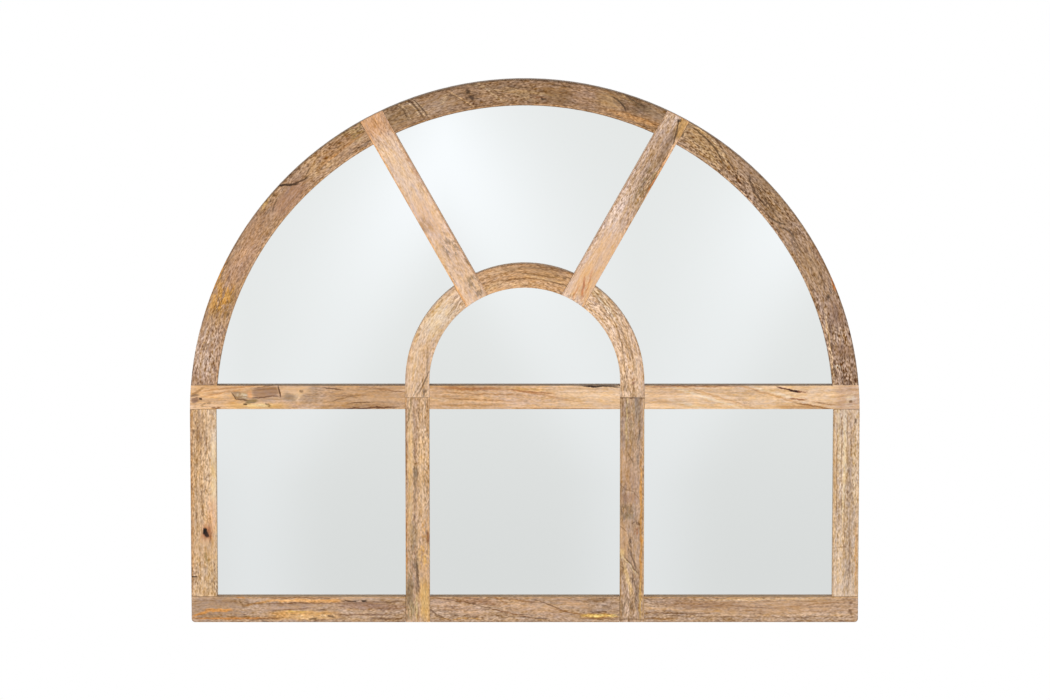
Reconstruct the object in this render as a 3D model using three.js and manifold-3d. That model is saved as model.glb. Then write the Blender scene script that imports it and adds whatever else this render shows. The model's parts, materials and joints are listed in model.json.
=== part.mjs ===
// An arched window mirror in solid wood. Fourteen flush members are joined by half laps: the outer
// frame is rebated at the back for one sheet of mirror glass and its backing board, and thinner
// bars run in front of the glass. Two strap hangers with swinging rings and two bumpers are at the back.
// Millimetres, +Z up, the front towards -Y. The back of the frame lies in the plane Y = 0, and the
// origin is midway between the pivots of the two hanging rings.
// In plan, a point's x is across the mirror and its y is the height above the middle of the transom.
// A depth is counted from the back plane towards the front.

import * as THREE from "three";
import { mergeVertices } from "three/addons/utils/BufferGeometryUtils.js";
import Module from "manifold-3d";

const wasm = await Module();
wasm.setup();

// The whole frame
const overallWidth = 1000;
const sideHeight = 341.5; // from the bottom edge to the middle of the transom
const archCentreDrop = 23.8; // the outer arch's centre lies this far below the transom's middle
const innerArchRise = 22.3; // the inner arch's centre lies this far above it
const postSpacing = 321; // between the middles of the two posts
const spokeLean = THREE.MathUtils.degToRad(29.5); // of each spoke, away from upright
const spokeMeetingRise = 19.2; // the middles of the two spokes meet this far above the transom's middle
const cornerRadius = 5; // of the two bottom corners

// Stock and joints
const frameWidth = 39; // of the outer arch, the stiles and the bottom rail
const barWidth = 36; // of the transom, the posts, the spokes and the inner arch
const memberThickness = 19;
const barThickness = 9.5; // of the members in front of the glass, and of the front half of each frame lap
const barLap = 4.75; // what the upper of two crossing bars keeps where they are halved together
const edgeRound = 1.2; // round-over along every free front edge
const edgeSteps = 3;
const trimAllowance = 0.2; // what shaping takes off a free edge of the stock
const glueGap = 0.3; // between two members side by side or end to end
const overrun = 2; // by which rough stock and cuts pass the finished surface
const facetError = 0.1; // how far a straight step may stray from its circle in wood, glass and board
const smallFacetError = 0.02; // the same for the bent metal strap

// Glass and backing
const glassThickness = 4;
const glassLedge = 6; // width of the rebate's first step, behind the lip
const glassEdgeGap = 1;
const seatGap = 0.3; // in front of the glass, and in front of the board
const boardThickness = 3;
const boardLedge = 10; // width of the rebate's second step
const boardEdgeGap = 1;

// Backing screws, driven through the board into the second step
const backingScrew = { shankRadius: 1.5, length: 10, tip: 3, headRadius: 3, headHeight: 1.6 };
const backingScrewInset = 5; // from the wall of the first step
const archScrewAngles = [18, 54, 90, 126, 162].map(THREE.MathUtils.degToRad);
const stileScrewShares = [0.25, 0.8]; // of the way from the transom down to the bottom edge
const railScrewShares = [-0.64, 0, 0.64]; // of half the width
const screwClearance = 0.25; // round every shank
const screwSides = 12;

// Strap hangers
const hangerAngle = THREE.MathUtils.degToRad(20); // round the outer arch, above its centre
const hangerInset = 12; // from the outer edge to the middle of the strap
const strapWidth = 13;
const strapThickness = 1.4;
const strapTail = 32; // from the ring's pivot to the strap's end
const strapEndRadius = 3;
const eyeClearance = 0.25; // round the ring's straight leg
const eyeTurn = THREE.MathUtils.degToRad(290); // how far the strap's end is rolled round
const hangerScrew = { shankRadius: 1.75, length: 15, tip: 4, headRadius: 3.2, headHeight: 2 };
const upperScrewDrop = 7.8; // below the ring's pivot
const lowerScrewDrop = 26;

// Hanging rings
const ringWireRadius = 1.4;
const ringWidth = 20.8; // between the middles of the two sides
const ringDrop = 20; // from the straight leg to the lowest point, both at the wire's middle
const ringCornerRadius = 2.8;
const ringEndGap = 0.5; // where the wire's two ends meet, inside the rolled eye
const ringSides = 8;
const ringSteps = 44;

// Wall bumpers
const bumperRadius = 6;
const bumperHeight = 6;
const bumperTaper = 1; // by which the free end is narrower, all round
const bumperRound = 1.2;
const bumperInset = 16; // from the side and from the bottom edge
const bumperSides = 20;

// Places that follow from the sizes above
const sides = [-1, 1];
const halfWidth = overallWidth / 2;
const halfBar = barWidth / 2;
const bottomEdge = -sideHeight;
const railTop = bottomEdge + frameWidth;
const outerCentre = -archCentreDrop;
const innerCentre = innerArchRise;
const rimRadius = halfWidth - frameWidth;
const innerArchOuter = postSpacing / 2 + halfBar;
const innerArchInner = postSpacing / 2 - halfBar;

const barBack = memberThickness - barThickness;
const lapFace = memberThickness - barLap;
const glassBack = barBack - seatGap - glassThickness;
const boardBack = glassBack - seatGap - boardThickness;
const behind = -overrun;
const before = memberThickness + overrun;

const roughHalf = halfBar + trimAllowance;
const housingHalf = roughHalf + glueGap;
const glassRebate = frameWidth - glassLedge;
const boardRebate = glassRebate - boardLedge;

const eyeInner = ringWireRadius + eyeClearance;
const eyeOuter = eyeInner + strapThickness;
const hangerRadius = halfWidth - hangerInset;
const hangerX = hangerRadius * Math.cos(hangerAngle);
const hangerHeight = outerCentre + hangerRadius * Math.sin(hangerAngle);

// Solids from three.js geometries and back

function solid(geometry) {
  const bare = geometry.clone();
  bare.deleteAttribute("normal");
  bare.deleteAttribute("uv");
  const merged = mergeVertices(bare);
  return new wasm.Manifold(
    new wasm.Mesh({
      numProp: 3,
      vertProperties: merged.attributes.position.array,
      triVerts: new Uint32Array(merged.index.array),
    }),
  );
}

function geometryOf(body) {
  const { vertProperties, triVerts } = body.getMesh();
  const geometry = new THREE.BufferGeometry();
  geometry.setAttribute("position", new THREE.BufferAttribute(vertProperties, 3));
  geometry.setIndex(new THREE.BufferAttribute(triVerts, 1));
  const faceted = geometry.toNonIndexed();
  faceted.computeVertexNormals();
  return faceted;
}

// Plan outlines

const at = (x, y) => new THREE.Vector2(x, y);

const mirrored = (points) => points.map((p) => at(-p.x, p.y)).reverse();

const rectangle = (x0, y0, x1, y1) => [at(x0, y0), at(x1, y0), at(x1, y1), at(x0, y1)];

// The points of a round stretch, both ends included, in steps that keep to an error.
function arc(centre, radius, from, to, error = facetError) {
  const finest = 2 * Math.acos(1 - error / radius);
  const steps = Math.ceil(Math.abs(to - from) / finest);
  return Array.from({ length: steps + 1 }, (_, i) => {
    const angle = from + ((to - from) * i) / steps;
    return at(centre.x + radius * Math.cos(angle), centre.y + radius * Math.sin(angle));
  });
}

const archArc = (height, radius, from, to) => arc(at(0, height), radius, from, to);

const angleAt = (point, height) => Math.atan2(point.y - height, point.x);

// The frame's own outline drawn in by an inset: square or rounded below, a half circle above.
function archOutline(inset, corner) {
  const reach = halfWidth - inset;
  const floor = bottomEdge + inset;
  const right = corner
    ? arc(at(reach - corner, floor + corner), corner, -Math.PI / 2, 0)
    : [at(reach, floor)];
  return [...mirrored(right), ...right, ...archArc(outerCentre, reach, 0, Math.PI)];
}

// On the line that runs beside the right spoke's middle, the point at a distance from an arch's
// centre. Aside is positive on the outer side of the spoke.
function besideSpoke(aside, height, radius) {
  const along = at(Math.sin(spokeLean), Math.cos(spokeLean));
  const across = at(Math.cos(spokeLean), -Math.sin(spokeLean));
  const start = at(0, spokeMeetingRise - height).addScaledVector(across, aside);
  const back = start.dot(along);
  const reach = Math.sqrt(back * back - start.lengthSq() + radius * radius) - back;
  return start.addScaledVector(along, reach).add(at(0, height));
}

// A strip along the right spoke's middle, from inside the inner arch to past the outer edge.
function spokeStrip(half) {
  const inner = innerArchInner - overrun;
  const outer = halfWidth + overrun;
  return [
    besideSpoke(half, innerCentre, inner),
    besideSpoke(half, outerCentre, outer),
    besideSpoke(-half, outerCentre, outer),
    besideSpoke(-half, innerCentre, inner),
  ];
}

// The right half of a curved member that starts at a height or a spoke and ends at another place.
function ringSector(height, inner, outer, first, last) {
  return [
    ...archArc(height, outer, angleAt(first(outer), height), angleAt(last(outer), height)),
    ...archArc(height, inner, angleAt(last(inner), height), angleAt(first(inner), height)),
  ];
}

// The seven openings that show the glass

function sidePane() {
  const outer = besideSpoke(halfBar, outerCentre, rimRadius);
  const inner = besideSpoke(halfBar, innerCentre, innerArchOuter);
  const start = Math.asin((halfBar - outerCentre) / rimRadius);
  return [
    at(innerArchOuter, halfBar),
    ...archArc(outerCentre, rimRadius, start, angleAt(outer, outerCentre)),
    ...archArc(innerCentre, innerArchOuter, angleAt(inner, innerCentre), 0),
  ];
}

function topPane() {
  const outer = angleAt(besideSpoke(-halfBar, outerCentre, rimRadius), outerCentre);
  const inner = angleAt(besideSpoke(-halfBar, innerCentre, innerArchOuter), innerCentre);
  return [
    ...archArc(outerCentre, rimRadius, outer, Math.PI - outer),
    ...archArc(innerCentre, innerArchOuter, Math.PI - inner, inner),
  ];
}

function panes() {
  const lowerSide = rectangle(innerArchOuter, railTop, rimRadius, -halfBar);
  return [
    sidePane(),
    mirrored(sidePane()),
    topPane(),
    [
      at(-innerArchInner, halfBar),
      at(innerArchInner, halfBar),
      ...archArc(innerCentre, innerArchInner, 0, Math.PI),
    ],
    lowerSide,
    mirrored(lowerSide),
    rectangle(-innerArchInner, railTop, innerArchInner, -halfBar),
  ];
}

// Bodies between two depths

function extruded(points, openings, back, settings) {
  const shape = new THREE.Shape(points);
  shape.holes = openings.map((opening) => new THREE.Path(opening));
  const geometry = new THREE.ExtrudeGeometry(shape, settings);
  geometry.translate(0, 0, back);
  geometry.rotateX(Math.PI / 2);
  return solid(geometry);
}

function slab(points, back, front) {
  return extruded(points, [], back, { depth: front - back, bevelEnabled: false });
}

// A plate as thick as the frame, with the edges of its outline and opening rounded over
function roundedPlate(points, openings) {
  return extruded(points, openings, edgeRound, {
    depth: memberThickness - 2 * edgeRound,
    bevelThickness: edgeRound,
    bevelSize: edgeRound,
    bevelOffset: -edgeRound,
    bevelSegments: edgeSteps,
  });
}

// The finished face of the whole frame, which each member is cut to
function finishedFace() {
  const beyond = rectangle(-overallWidth, -overallWidth, overallWidth, overallWidth);
  return panes().reduce(
    (face, pane) => face.intersect(roundedPlate(beyond, [pane])),
    roundedPlate(archOutline(0, cornerRadius), []),
  );
}

const finishedFrame = finishedFace();

// The two steps of the rebate that hold the glass and the board
const rebate = slab(archOutline(glassRebate, 0), behind, barBack).add(
  slab(archOutline(boardRebate, 0), behind, glassBack),
);

// A cut on the right and its mirror image on the left
function bothSides(points, back, front) {
  return slab(points, back, front).add(slab(mirrored(points), back, front));
}

const onSide = (side, points) => (side > 0 ? points : mirrored(points));

// Screws and their holes. A screw's own origin is under its head, and its shank runs down -Y.

function screwGeometry({ shankRadius, length, tip, headRadius, headHeight }) {
  const rim = headHeight / 2;
  const profile = [
    at(0, -length),
    at(shankRadius, tip - length),
    at(shankRadius, 0),
    at(headRadius, 0),
    at(headRadius, rim),
    at((headRadius * 4) / 5, (headHeight * 9) / 10),
    at(headRadius / 2, headHeight),
    at(0, headHeight),
  ];
  return new THREE.LatheGeometry(profile, screwSides);
}

// A round hole from a height above the screw's origin down past its point.
function screwHole({ shankRadius, length }, top) {
  const radius = shankRadius + screwClearance;
  const bottom = -length - screwClearance;
  const hole = new THREE.CylinderGeometry(radius, radius, top - bottom, screwSides);
  hole.translate(0, (top + bottom) / 2, 0);
  return hole;
}

// The middles of the backing screws, named by where they are
function backingScrewPlaces() {
  const inset = glassRebate - backingScrewInset;
  const reach = halfWidth - inset;
  const arch = archScrewAngles.map((angle) =>
    at(reach * Math.cos(angle), outerCentre + reach * Math.sin(angle)),
  );
  const stiles = sides.flatMap((side) =>
    stileScrewShares.map((share) => at(side * reach, bottomEdge * share)),
  );
  const rail = railScrewShares.map((share) => at(halfWidth * share, bottomEdge + inset));
  return [...arch, ...stiles, ...rail];
}

const backingPlaces = backingScrewPlaces();

function backingHoles() {
  return backingPlaces
    .map((place) => {
      const hole = screwHole(backingScrew, overrun);
      hole.translate(place.x, -boardBack, place.y);
      return solid(hole);
    })
    .reduce((all, hole) => all.add(hole));
}

// The hanger's own frame: +Z up along the strap, +Y away from the wood, the ring's pivot above the origin
function hangerMatrix(side) {
  return new THREE.Matrix4()
    .makeRotationY(-side * hangerAngle)
    .setPosition(side * hangerX, 0, hangerHeight);
}

const hangerScrewDrops = { upper: upperScrewDrop, lower: lowerScrewDrop };

function hangerHoles(side) {
  return Object.values(hangerScrewDrops)
    .map((drop) => {
      const hole = screwHole(hangerScrew, overrun);
      hole.translate(0, strapThickness, -drop);
      hole.applyMatrix4(hangerMatrix(side));
      return solid(hole);
    })
    .reduce((all, hole) => all.add(hole));
}

const holesInWood = backingHoles().add(hangerHoles(-1)).add(hangerHoles(1));

// Wood members. Rough stock is cut for its joints, rebated, drilled and shaped to the finished face.

const shaped = (stock) => geometryOf(stock.intersect(finishedFrame));

const rebated = (stock) => shaped(stock.subtract(rebate).subtract(holesInWood));

const barStrip = (half, low, high) =>
  rectangle(postSpacing / 2 - half, low, postSpacing / 2 + half, high);

const stockEnd = halfWidth + overrun;
const shoulder = rimRadius - trimAllowance; // inner side of the upright halves of the corner laps

// The full-width transom is half thick, so it lies over the frame at both ends.
function transomRail() {
  const stock = slab(rectangle(-stockEnd, -roughHalf, stockEnd, roughHalf), barBack, before);
  const housings = barStrip(housingHalf, -barWidth, barWidth);
  return shaped(stock.subtract(bothSides(housings, lapFace, before)));
}

// The full-width bottom rail: its ends lie over the stiles, and the posts are let into its face.
function bottomRail() {
  const low = bottomEdge - overrun;
  const top = railTop + trimAllowance;
  const stock = slab(rectangle(-stockEnd, low, stockEnd, top), behind, before);
  const ends = rectangle(shoulder - glueGap, low - overrun, stockEnd + overrun, top + overrun);
  const housings = barStrip(housingHalf, low - overrun, top + overrun);
  const lapped = stock.subtract(bothSides(ends, behind - overrun, barBack));
  return rebated(lapped.subtract(bothSides(housings, barBack, before + overrun)));
}

// A stile stands between the two rails in front, with tongues behind both of them.
function stile(side) {
  const face = rectangle(shoulder, railTop + trimAllowance + glueGap, stockEnd, -housingHalf);
  const tongues = rectangle(shoulder, bottomEdge - overrun, stockEnd, -glueGap / 2);
  const stock = slab(onSide(side, face), behind, before);
  return rebated(stock.add(slab(onSide(side, tongues), behind, barBack)));
}

const spokeHousing = (back) => bothSides(spokeStrip(housingHalf), back, before + overrun);

// The ends of the curved members: halfway up the transom, and along the middle of a spoke
const atTransom = (height) => (radius) => {
  const rise = glueGap / 2 - height;
  return at(Math.sqrt(radius * radius - rise * rise), glueGap / 2);
};
const atSpoke = (aside, height) => (radius) => besideSpoke(aside, height, radius);
const acrossSpoke = (aside, height) => (radius) => {
  const point = besideSpoke(aside, height, radius);
  return at(-point.x, point.y);
};

// The curved stock of the outer arch, from its outer edge to inside the rim
const outerSector = (first, last) =>
  ringSector(outerCentre, rimRadius - overrun, stockEnd, first, last);

function outerArchSide(side) {
  const outline = outerSector(atTransom(outerCentre), atSpoke(glueGap / 2, outerCentre));
  const stock = slab(onSide(side, outline), behind, before);
  const underTransom = rectangle(-stockEnd, -barWidth, stockEnd + overrun, housingHalf);
  const lapped = stock.subtract(slab(underTransom, barBack, before + overrun));
  return rebated(lapped.subtract(spokeHousing(barBack)));
}

function outerArchTop() {
  const aside = -glueGap / 2;
  const outline = outerSector(atSpoke(aside, outerCentre), acrossSpoke(aside, outerCentre));
  return rebated(slab(outline, behind, before).subtract(spokeHousing(barBack)));
}

// A spoke lies on the outer arch, and is halved over the inner one.
function spoke(side) {
  const stock = slab(onSide(side, spokeStrip(roughHalf)), barBack, before);
  const recess = archArc(innerCentre, innerArchOuter + trimAllowance + glueGap, 0, Math.PI);
  return shaped(stock.subtract(slab(recess, behind, lapFace)));
}

// Each side of the inner arch runs down as a straight leg, halved over the upper half of the transom.
function innerArchSide(side) {
  const inner = innerArchInner - trimAllowance;
  const outer = innerArchOuter + trimAllowance;
  const end = atSpoke(glueGap / 2, innerCentre);
  const outline = [
    at(inner, glueGap / 2),
    at(outer, glueGap / 2),
    ...ringSector(innerCentre, inner, outer, (radius) => at(radius, innerCentre), end),
  ];
  const stock = slab(onSide(side, outline), barBack, before);
  const recess = barStrip(barWidth, -barWidth, housingHalf);
  const lapped = stock.subtract(bothSides(recess, behind, lapFace));
  return shaped(lapped.subtract(spokeHousing(lapFace)));
}

function innerArchTop() {
  const aside = -glueGap / 2;
  const outline = ringSector(
    innerCentre,
    innerArchInner - trimAllowance,
    innerArchOuter + trimAllowance,
    atSpoke(aside, innerCentre),
    acrossSpoke(aside, innerCentre),
  );
  return shaped(slab(outline, barBack, before).subtract(spokeHousing(lapFace)));
}

// A post is halved over the lower half of the transom, and runs down over the bottom rail.
function post(side) {
  const outline = barStrip(roughHalf, bottomEdge - overrun, -glueGap / 2);
  const stock = slab(onSide(side, outline), barBack, before);
  const recess = barStrip(barWidth, -housingHalf, barWidth);
  return shaped(stock.subtract(bothSides(recess, behind, lapFace)));
}

// The sheet of glass, and the board that presses it forward
function mirrorGlass() {
  const outline = archOutline(glassRebate + glassEdgeGap, 0);
  return geometryOf(slab(outline, glassBack, glassBack + glassThickness));
}

function backingBoard() {
  const outline = archOutline(boardRebate + boardEdgeGap, 0);
  const board = slab(outline, boardBack, boardBack + boardThickness);
  return geometryOf(board.subtract(backingHoles()));
}

// The strap seen from its side: a flat tail whose end is rolled up into an eye round the ring.
// In the profile x runs up the strap and y away from the wood.
function hangerStrap() {
  const eye = at(0, eyeOuter);
  const first = -Math.PI / 2;
  const last = first + eyeTurn;
  const profile = [
    at(-strapTail, strapThickness),
    at(-strapTail, 0),
    ...arc(eye, eyeOuter, first, last, smallFacetError),
    ...arc(eye, eyeInner, last, first, smallFacetError),
  ];
  const settings = { depth: strapWidth, bevelEnabled: false };
  const bent = new THREE.ExtrudeGeometry(new THREE.Shape(profile), settings);
  bent.translate(0, 0, -strapWidth / 2);
  bent.rotateY(-Math.PI / 2);
  const rolled = Object.values(hangerScrewDrops).reduce((strap, drop) => {
    const hole = screwHole(hangerScrew, overrun);
    hole.translate(0, strapThickness, -drop);
    return strap.subtract(solid(hole));
  }, solid(bent));
  return geometryOf(rolled.intersect(strapOutline()));
}

// The strap seen from the wall, with the tail's corners rounded off
function strapOutline() {
  const half = strapWidth / 2;
  const side = half + overrun;
  const corner = at(half - strapEndRadius, strapEndRadius - strapTail);
  const right = [
    ...arc(corner, strapEndRadius, -Math.PI / 2, 0, smallFacetError),
    at(half, -upperScrewDrop),
    at(side, -upperScrewDrop),
    at(side, eyeOuter + overrun),
  ];
  return slab([...mirrored(right), ...right], -eyeOuter * 2 - overrun, overrun);
}

// A ring of bent wire: a straight leg in the eye, two sides and a half round below. Its two ends
// meet inside the eye.
function hangingRing() {
  const half = ringWidth / 2;
  const bend = half - ringCornerRadius;
  const path = new THREE.Path();
  path.moveTo(ringEndGap / 2, 0);
  path.lineTo(bend, 0);
  path.absarc(bend, -ringCornerRadius, ringCornerRadius, Math.PI / 2, 0, true);
  path.absarc(0, half - ringDrop, half, 0, -Math.PI, true);
  path.absarc(-bend, -ringCornerRadius, ringCornerRadius, Math.PI, Math.PI / 2, true);
  path.lineTo(-ringEndGap / 2, 0);
  const points = path.getSpacedPoints(ringSteps).map((p) => new THREE.Vector3(p.x, 0, p.y));
  const section = Array.from({ length: ringSides }, (_, i) => {
    const angle = ((i + 1 / 2) / ringSides) * 2 * Math.PI;
    return at(ringWireRadius * Math.cos(angle), ringWireRadius * Math.sin(angle));
  });
  return new THREE.ExtrudeGeometry(new THREE.Shape(section), {
    steps: ringSteps,
    extrudePath: new THREE.CatmullRomCurve3(points),
  });
}

// A tapered rubber bumper, its flat end towards the wall
function wallBumper() {
  const face = bumperRadius - bumperTaper;
  const profile = [
    at(0, 0),
    at(bumperRadius, 0),
    at(face, bumperHeight - bumperRound),
    at(face - bumperRound / 3, bumperHeight - bumperRound / 3),
    at(face - bumperRound, bumperHeight),
    at(0, bumperHeight),
  ];
  return new THREE.LatheGeometry(profile, bumperSides);
}

// The assembly

function finish(color, roughness, metalness) {
  return new THREE.MeshStandardMaterial({ color, roughness, metalness });
}

function piece(name, geometry, material) {
  const mesh = new THREE.Mesh(geometry, material);
  mesh.name = name;
  return mesh;
}

const woodRoughness = 0.6;
const wood = (color) => finish(color, woodRoughness, 0);
const steel = () => finish(0xc9c6bd, 0.35, 1);

function frameMembers() {
  return [
    piece("transom_rail", transomRail(), wood(0xd3ac85)),
    piece("bottom_rail", bottomRail(), wood(0xb69374)),
    piece("left_stile", stile(-1), wood(0xcca984)),
    piece("right_stile", stile(1), wood(0xc7ab8d)),
    piece("outer_arch_left", outerArchSide(-1), wood(0xb28c6b)),
    piece("outer_arch_top", outerArchTop(), wood(0x9c7b5d)),
    piece("outer_arch_right", outerArchSide(1), wood(0xa08166)),
    piece("left_spoke", spoke(-1), wood(0xdfbb9d)),
    piece("right_spoke", spoke(1), wood(0xc6a588)),
    piece("inner_arch_left", innerArchSide(-1), wood(0xdcbc9b)),
    piece("inner_arch_top", innerArchTop(), wood(0xc29972)),
    piece("inner_arch_right", innerArchSide(1), wood(0xd3b090)),
    piece("left_post", post(-1), wood(0xc7a47f)),
    piece("right_post", post(1), wood(0xb79676)),
  ];
}

function glazing() {
  return [
    piece("mirror_glass", mirrorGlass(), finish(0xe6ebed, 0.03, 1)),
    piece("backing_board", backingBoard(), finish(0x9c7a55, 0.85, 0)),
  ];
}

function backingScrews() {
  return backingPlaces.map((place, i) => {
    const number = String(i + 1).padStart(2, "0");
    const screw = piece("backing_screw_" + number, screwGeometry(backingScrew), steel());
    screw.position.set(place.x, -boardBack, place.y);
    return screw;
  });
}

function hanger(side) {
  const name = side < 0 ? "left" : "right";
  const group = new THREE.Group();
  group.position.set(side * hangerX, 0, hangerHeight);
  group.rotation.y = -side * hangerAngle;
  group.add(piece(name + "_hanger_strap", hangerStrap(), steel()));
  const ring = piece(name + "_hanging_ring", hangingRing(), steel());
  ring.position.y = eyeOuter;
  group.add(ring);
  for (const [place, drop] of Object.entries(hangerScrewDrops)) {
    const screw = piece(name + "_hanger_screw_" + place, screwGeometry(hangerScrew), steel());
    screw.position.set(0, strapThickness, -drop);
    group.add(screw);
  }
  return group;
}

function bumper(side) {
  const name = side < 0 ? "left_wall_bumper" : "right_wall_bumper";
  const pad = piece(name, wallBumper(), finish(0x2a2927, 0.7, 0));
  pad.position.set(side * (halfWidth - bumperInset), 0, bottomEdge + bumperInset);
  return pad;
}

const mirror = new THREE.Group();
mirror.position.z = -hangerHeight;
mirror.add(...frameMembers(), ...glazing(), ...backingScrews());
mirror.add(...sides.map(hanger), ...sides.map(bumper));

export default mirror;
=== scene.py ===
"""An arched window mirror in solid wood, dressed for its picture.

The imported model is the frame: every member, the glass, the board and the hangers keep the places
that they have there. This script gives them their finish, puts finer pieces in place of the
members, screws, straps, rings and bumpers, and builds the studio.
"""

import json
import math
from collections import namedtuple

import bpy
from bpy.props import FloatProperty, FloatVectorProperty, PointerProperty
from mathutils import Matrix, Vector


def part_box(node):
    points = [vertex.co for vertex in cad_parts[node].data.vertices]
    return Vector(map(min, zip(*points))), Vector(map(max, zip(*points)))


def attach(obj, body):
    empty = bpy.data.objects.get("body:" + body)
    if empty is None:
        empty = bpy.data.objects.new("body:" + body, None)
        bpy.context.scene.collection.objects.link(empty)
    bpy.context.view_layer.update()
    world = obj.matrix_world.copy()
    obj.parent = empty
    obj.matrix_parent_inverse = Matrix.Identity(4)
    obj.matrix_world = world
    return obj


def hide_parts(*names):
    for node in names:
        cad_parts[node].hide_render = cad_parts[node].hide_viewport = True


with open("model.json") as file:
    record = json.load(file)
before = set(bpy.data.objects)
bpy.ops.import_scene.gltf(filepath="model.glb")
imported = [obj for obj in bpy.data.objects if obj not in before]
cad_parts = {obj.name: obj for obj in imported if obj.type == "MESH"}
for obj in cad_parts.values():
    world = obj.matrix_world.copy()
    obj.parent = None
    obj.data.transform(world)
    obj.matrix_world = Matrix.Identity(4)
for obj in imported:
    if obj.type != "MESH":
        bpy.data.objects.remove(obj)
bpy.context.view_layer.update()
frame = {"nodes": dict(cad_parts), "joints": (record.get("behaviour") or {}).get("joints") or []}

bl_info = {
    "name": "Arched Wood Mirror",
    "version": (1, 0, 0),
    "blender": (4, 5, 0),
    "location": "3D View > Sidebar > Arched Mirror",
    "description": "Dresses the packed model of an arched window mirror",
    "category": "Object",
}

MM = 0.001


def middle(node):
    low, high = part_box(node)
    return (low + high) / 2


# Plan heights are counted from the middle of the transom, in millimetres.
TRANSOM_HEIGHT = middle("transom_rail").z
FLOOR_OF_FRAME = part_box("bottom_rail")[0].z


def tone(code):
    """The linear colour of a hexadecimal sRGB code."""
    channels = [(code >> shift & 255) / 255 for shift in (16, 8, 0)]
    return tuple(
        c / 12.92 if c <= 0.04045 else ((c + 0.055) / 1.055) ** 2.4 for c in channels
    )


# Shader graphs


class Field:
    """A socket that takes part in sums with other sockets and with numbers."""

    def __init__(self, graph, socket):
        self.graph = graph
        self.socket = socket

    def __add__(self, other):
        return self.graph.math("ADD", self, other)

    __radd__ = __add__

    def __sub__(self, other):
        return self.graph.math("SUBTRACT", self, other)

    def __rsub__(self, other):
        return self.graph.math("SUBTRACT", other, self)

    def __mul__(self, other):
        return self.graph.math("MULTIPLY", self, other)

    __rmul__ = __mul__

    def __truediv__(self, other):
        return self.graph.math("DIVIDE", self, other)

    def __rtruediv__(self, other):
        return self.graph.math("DIVIDE", other, self)


class Graph:
    """The node tree of a material or a world."""

    def __init__(self, owner):
        owner.use_nodes = True
        self.tree = owner.node_tree
        self.tree.nodes.clear()

    def node(self, kind, settings=None, sockets=None, output=0):
        """A node of a type. Its settings are set first, then the values or links of its sockets."""
        made = self.tree.nodes.new(kind)
        for name, value in (settings or {}).items():
            setattr(made, name, value)
        for name, value in (sockets or {}).items():
            if isinstance(value, Field):
                self.tree.links.new(value.socket, made.inputs[name])
            else:
                socket = made.inputs[name]
                socket.default_value = (*value, 1) if socket.type == "RGBA" else value
        return Field(self, made.outputs[output])

    def math(self, operation, *values):
        return self.node("ShaderNodeMath", {"operation": operation}, dict(enumerate(values)))

    def vector(self, operation, *values):
        return self.node("ShaderNodeVectorMath", {"operation": operation}, dict(enumerate(values)))

    def dot(self, first, second):
        settings = {"operation": "DOT_PRODUCT"}
        return self.node("ShaderNodeVectorMath", settings, {0: first, 1: second}, output="Value")

    def combined(self, x, y, z):
        return self.node("ShaderNodeCombineXYZ", None, {"X": x, "Y": y, "Z": z})

    def split(self, vector):
        made = self.node("ShaderNodeSeparateXYZ", None, {"Vector": vector})
        return [Field(self, socket) for socket in made.socket.node.outputs]

    def mixed(self, first, second, share):
        """Two colours mixed by a share."""
        sockets = {"Factor": share, 6: first, 7: second}
        return self.node("ShaderNodeMix", {"data_type": "RGBA"}, sockets, output=2)

    def scaled(self, vector, factor):
        """A vector or a colour times a field or a number."""
        return self.node("ShaderNodeVectorMath", {"operation": "SCALE"}, {0: vector, "Scale": factor})

    def between(self, value, low, high):
        """A smooth share: 0 at low and 1 at high."""
        settings = {"interpolation_type": "SMOOTHSTEP"}
        return self.node("ShaderNodeMapRange", settings, {0: value, 1: low, 2: high})

    def noise(self, vector, detail=2.0, roughness=0.5, output=0):
        sockets = {"Vector": vector, "Scale": 1.0, "Detail": detail, "Roughness": roughness}
        return self.node("ShaderNodeTexNoise", None, sockets, output)

    def place(self):
        """The point on the piece, in metres in the row frame."""
        return self.node("ShaderNodeTexCoord", None, None, output="Object")

    def facing(self):
        """The surface's own direction."""
        return self.node("ShaderNodeNewGeometry", None, None, output="Normal")

    def bump(self, height, distance, strength=1.0):
        sockets = {"Strength": strength, "Distance": distance, "Height": height}
        return self.node("ShaderNodeBump", None, sockets)

    def surface(self, sockets):
        self.finish(self.node("ShaderNodeBsdfPrincipled", None, sockets))

    def finish(self, shader, output="ShaderNodeOutputMaterial"):
        made = self.tree.nodes.new(output)
        self.tree.links.new(shader.socket, made.inputs["Surface"])


def new_graph(name):
    material = bpy.data.materials.new(name)
    return material, Graph(material)


# Selecting and placing


def select_only(piece):
    for other in bpy.context.selected_objects:
        other.select_set(False)
    piece.select_set(True)
    bpy.context.view_layer.objects.active = piece


def edit(piece):
    select_only(piece)
    bpy.ops.object.mode_set(mode="EDIT")
    bpy.ops.mesh.select_all(action="SELECT")


def leave_edit():
    bpy.ops.object.mode_set(mode="OBJECT")


def painted(piece, material):
    piece.data.materials.clear()
    piece.data.materials.append(material)


def copied(piece, name, matrix):
    """A copy with a mesh of its own, moved by a matrix inside that mesh."""
    mesh = piece.data.copy()
    mesh.transform(matrix)
    made = bpy.data.objects.new(name, mesh)
    bpy.context.scene.collection.objects.link(made)
    return made


def settle(piece, node, body):
    """The piece stands for a node, which is hidden, and moves with a body."""
    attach(piece, body)
    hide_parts(node)


# Wood. Each member is a board of its own. Places and sizes are in plan millimetres, turns in degrees.

# half is half the board's width. contrast and flecks set how strong its streaks and specks are.
# edges are its bands of painted light and shade along its rims.
Board = namedtuple("Board", "name slot half tone contrast flecks grain edges marks")

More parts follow.
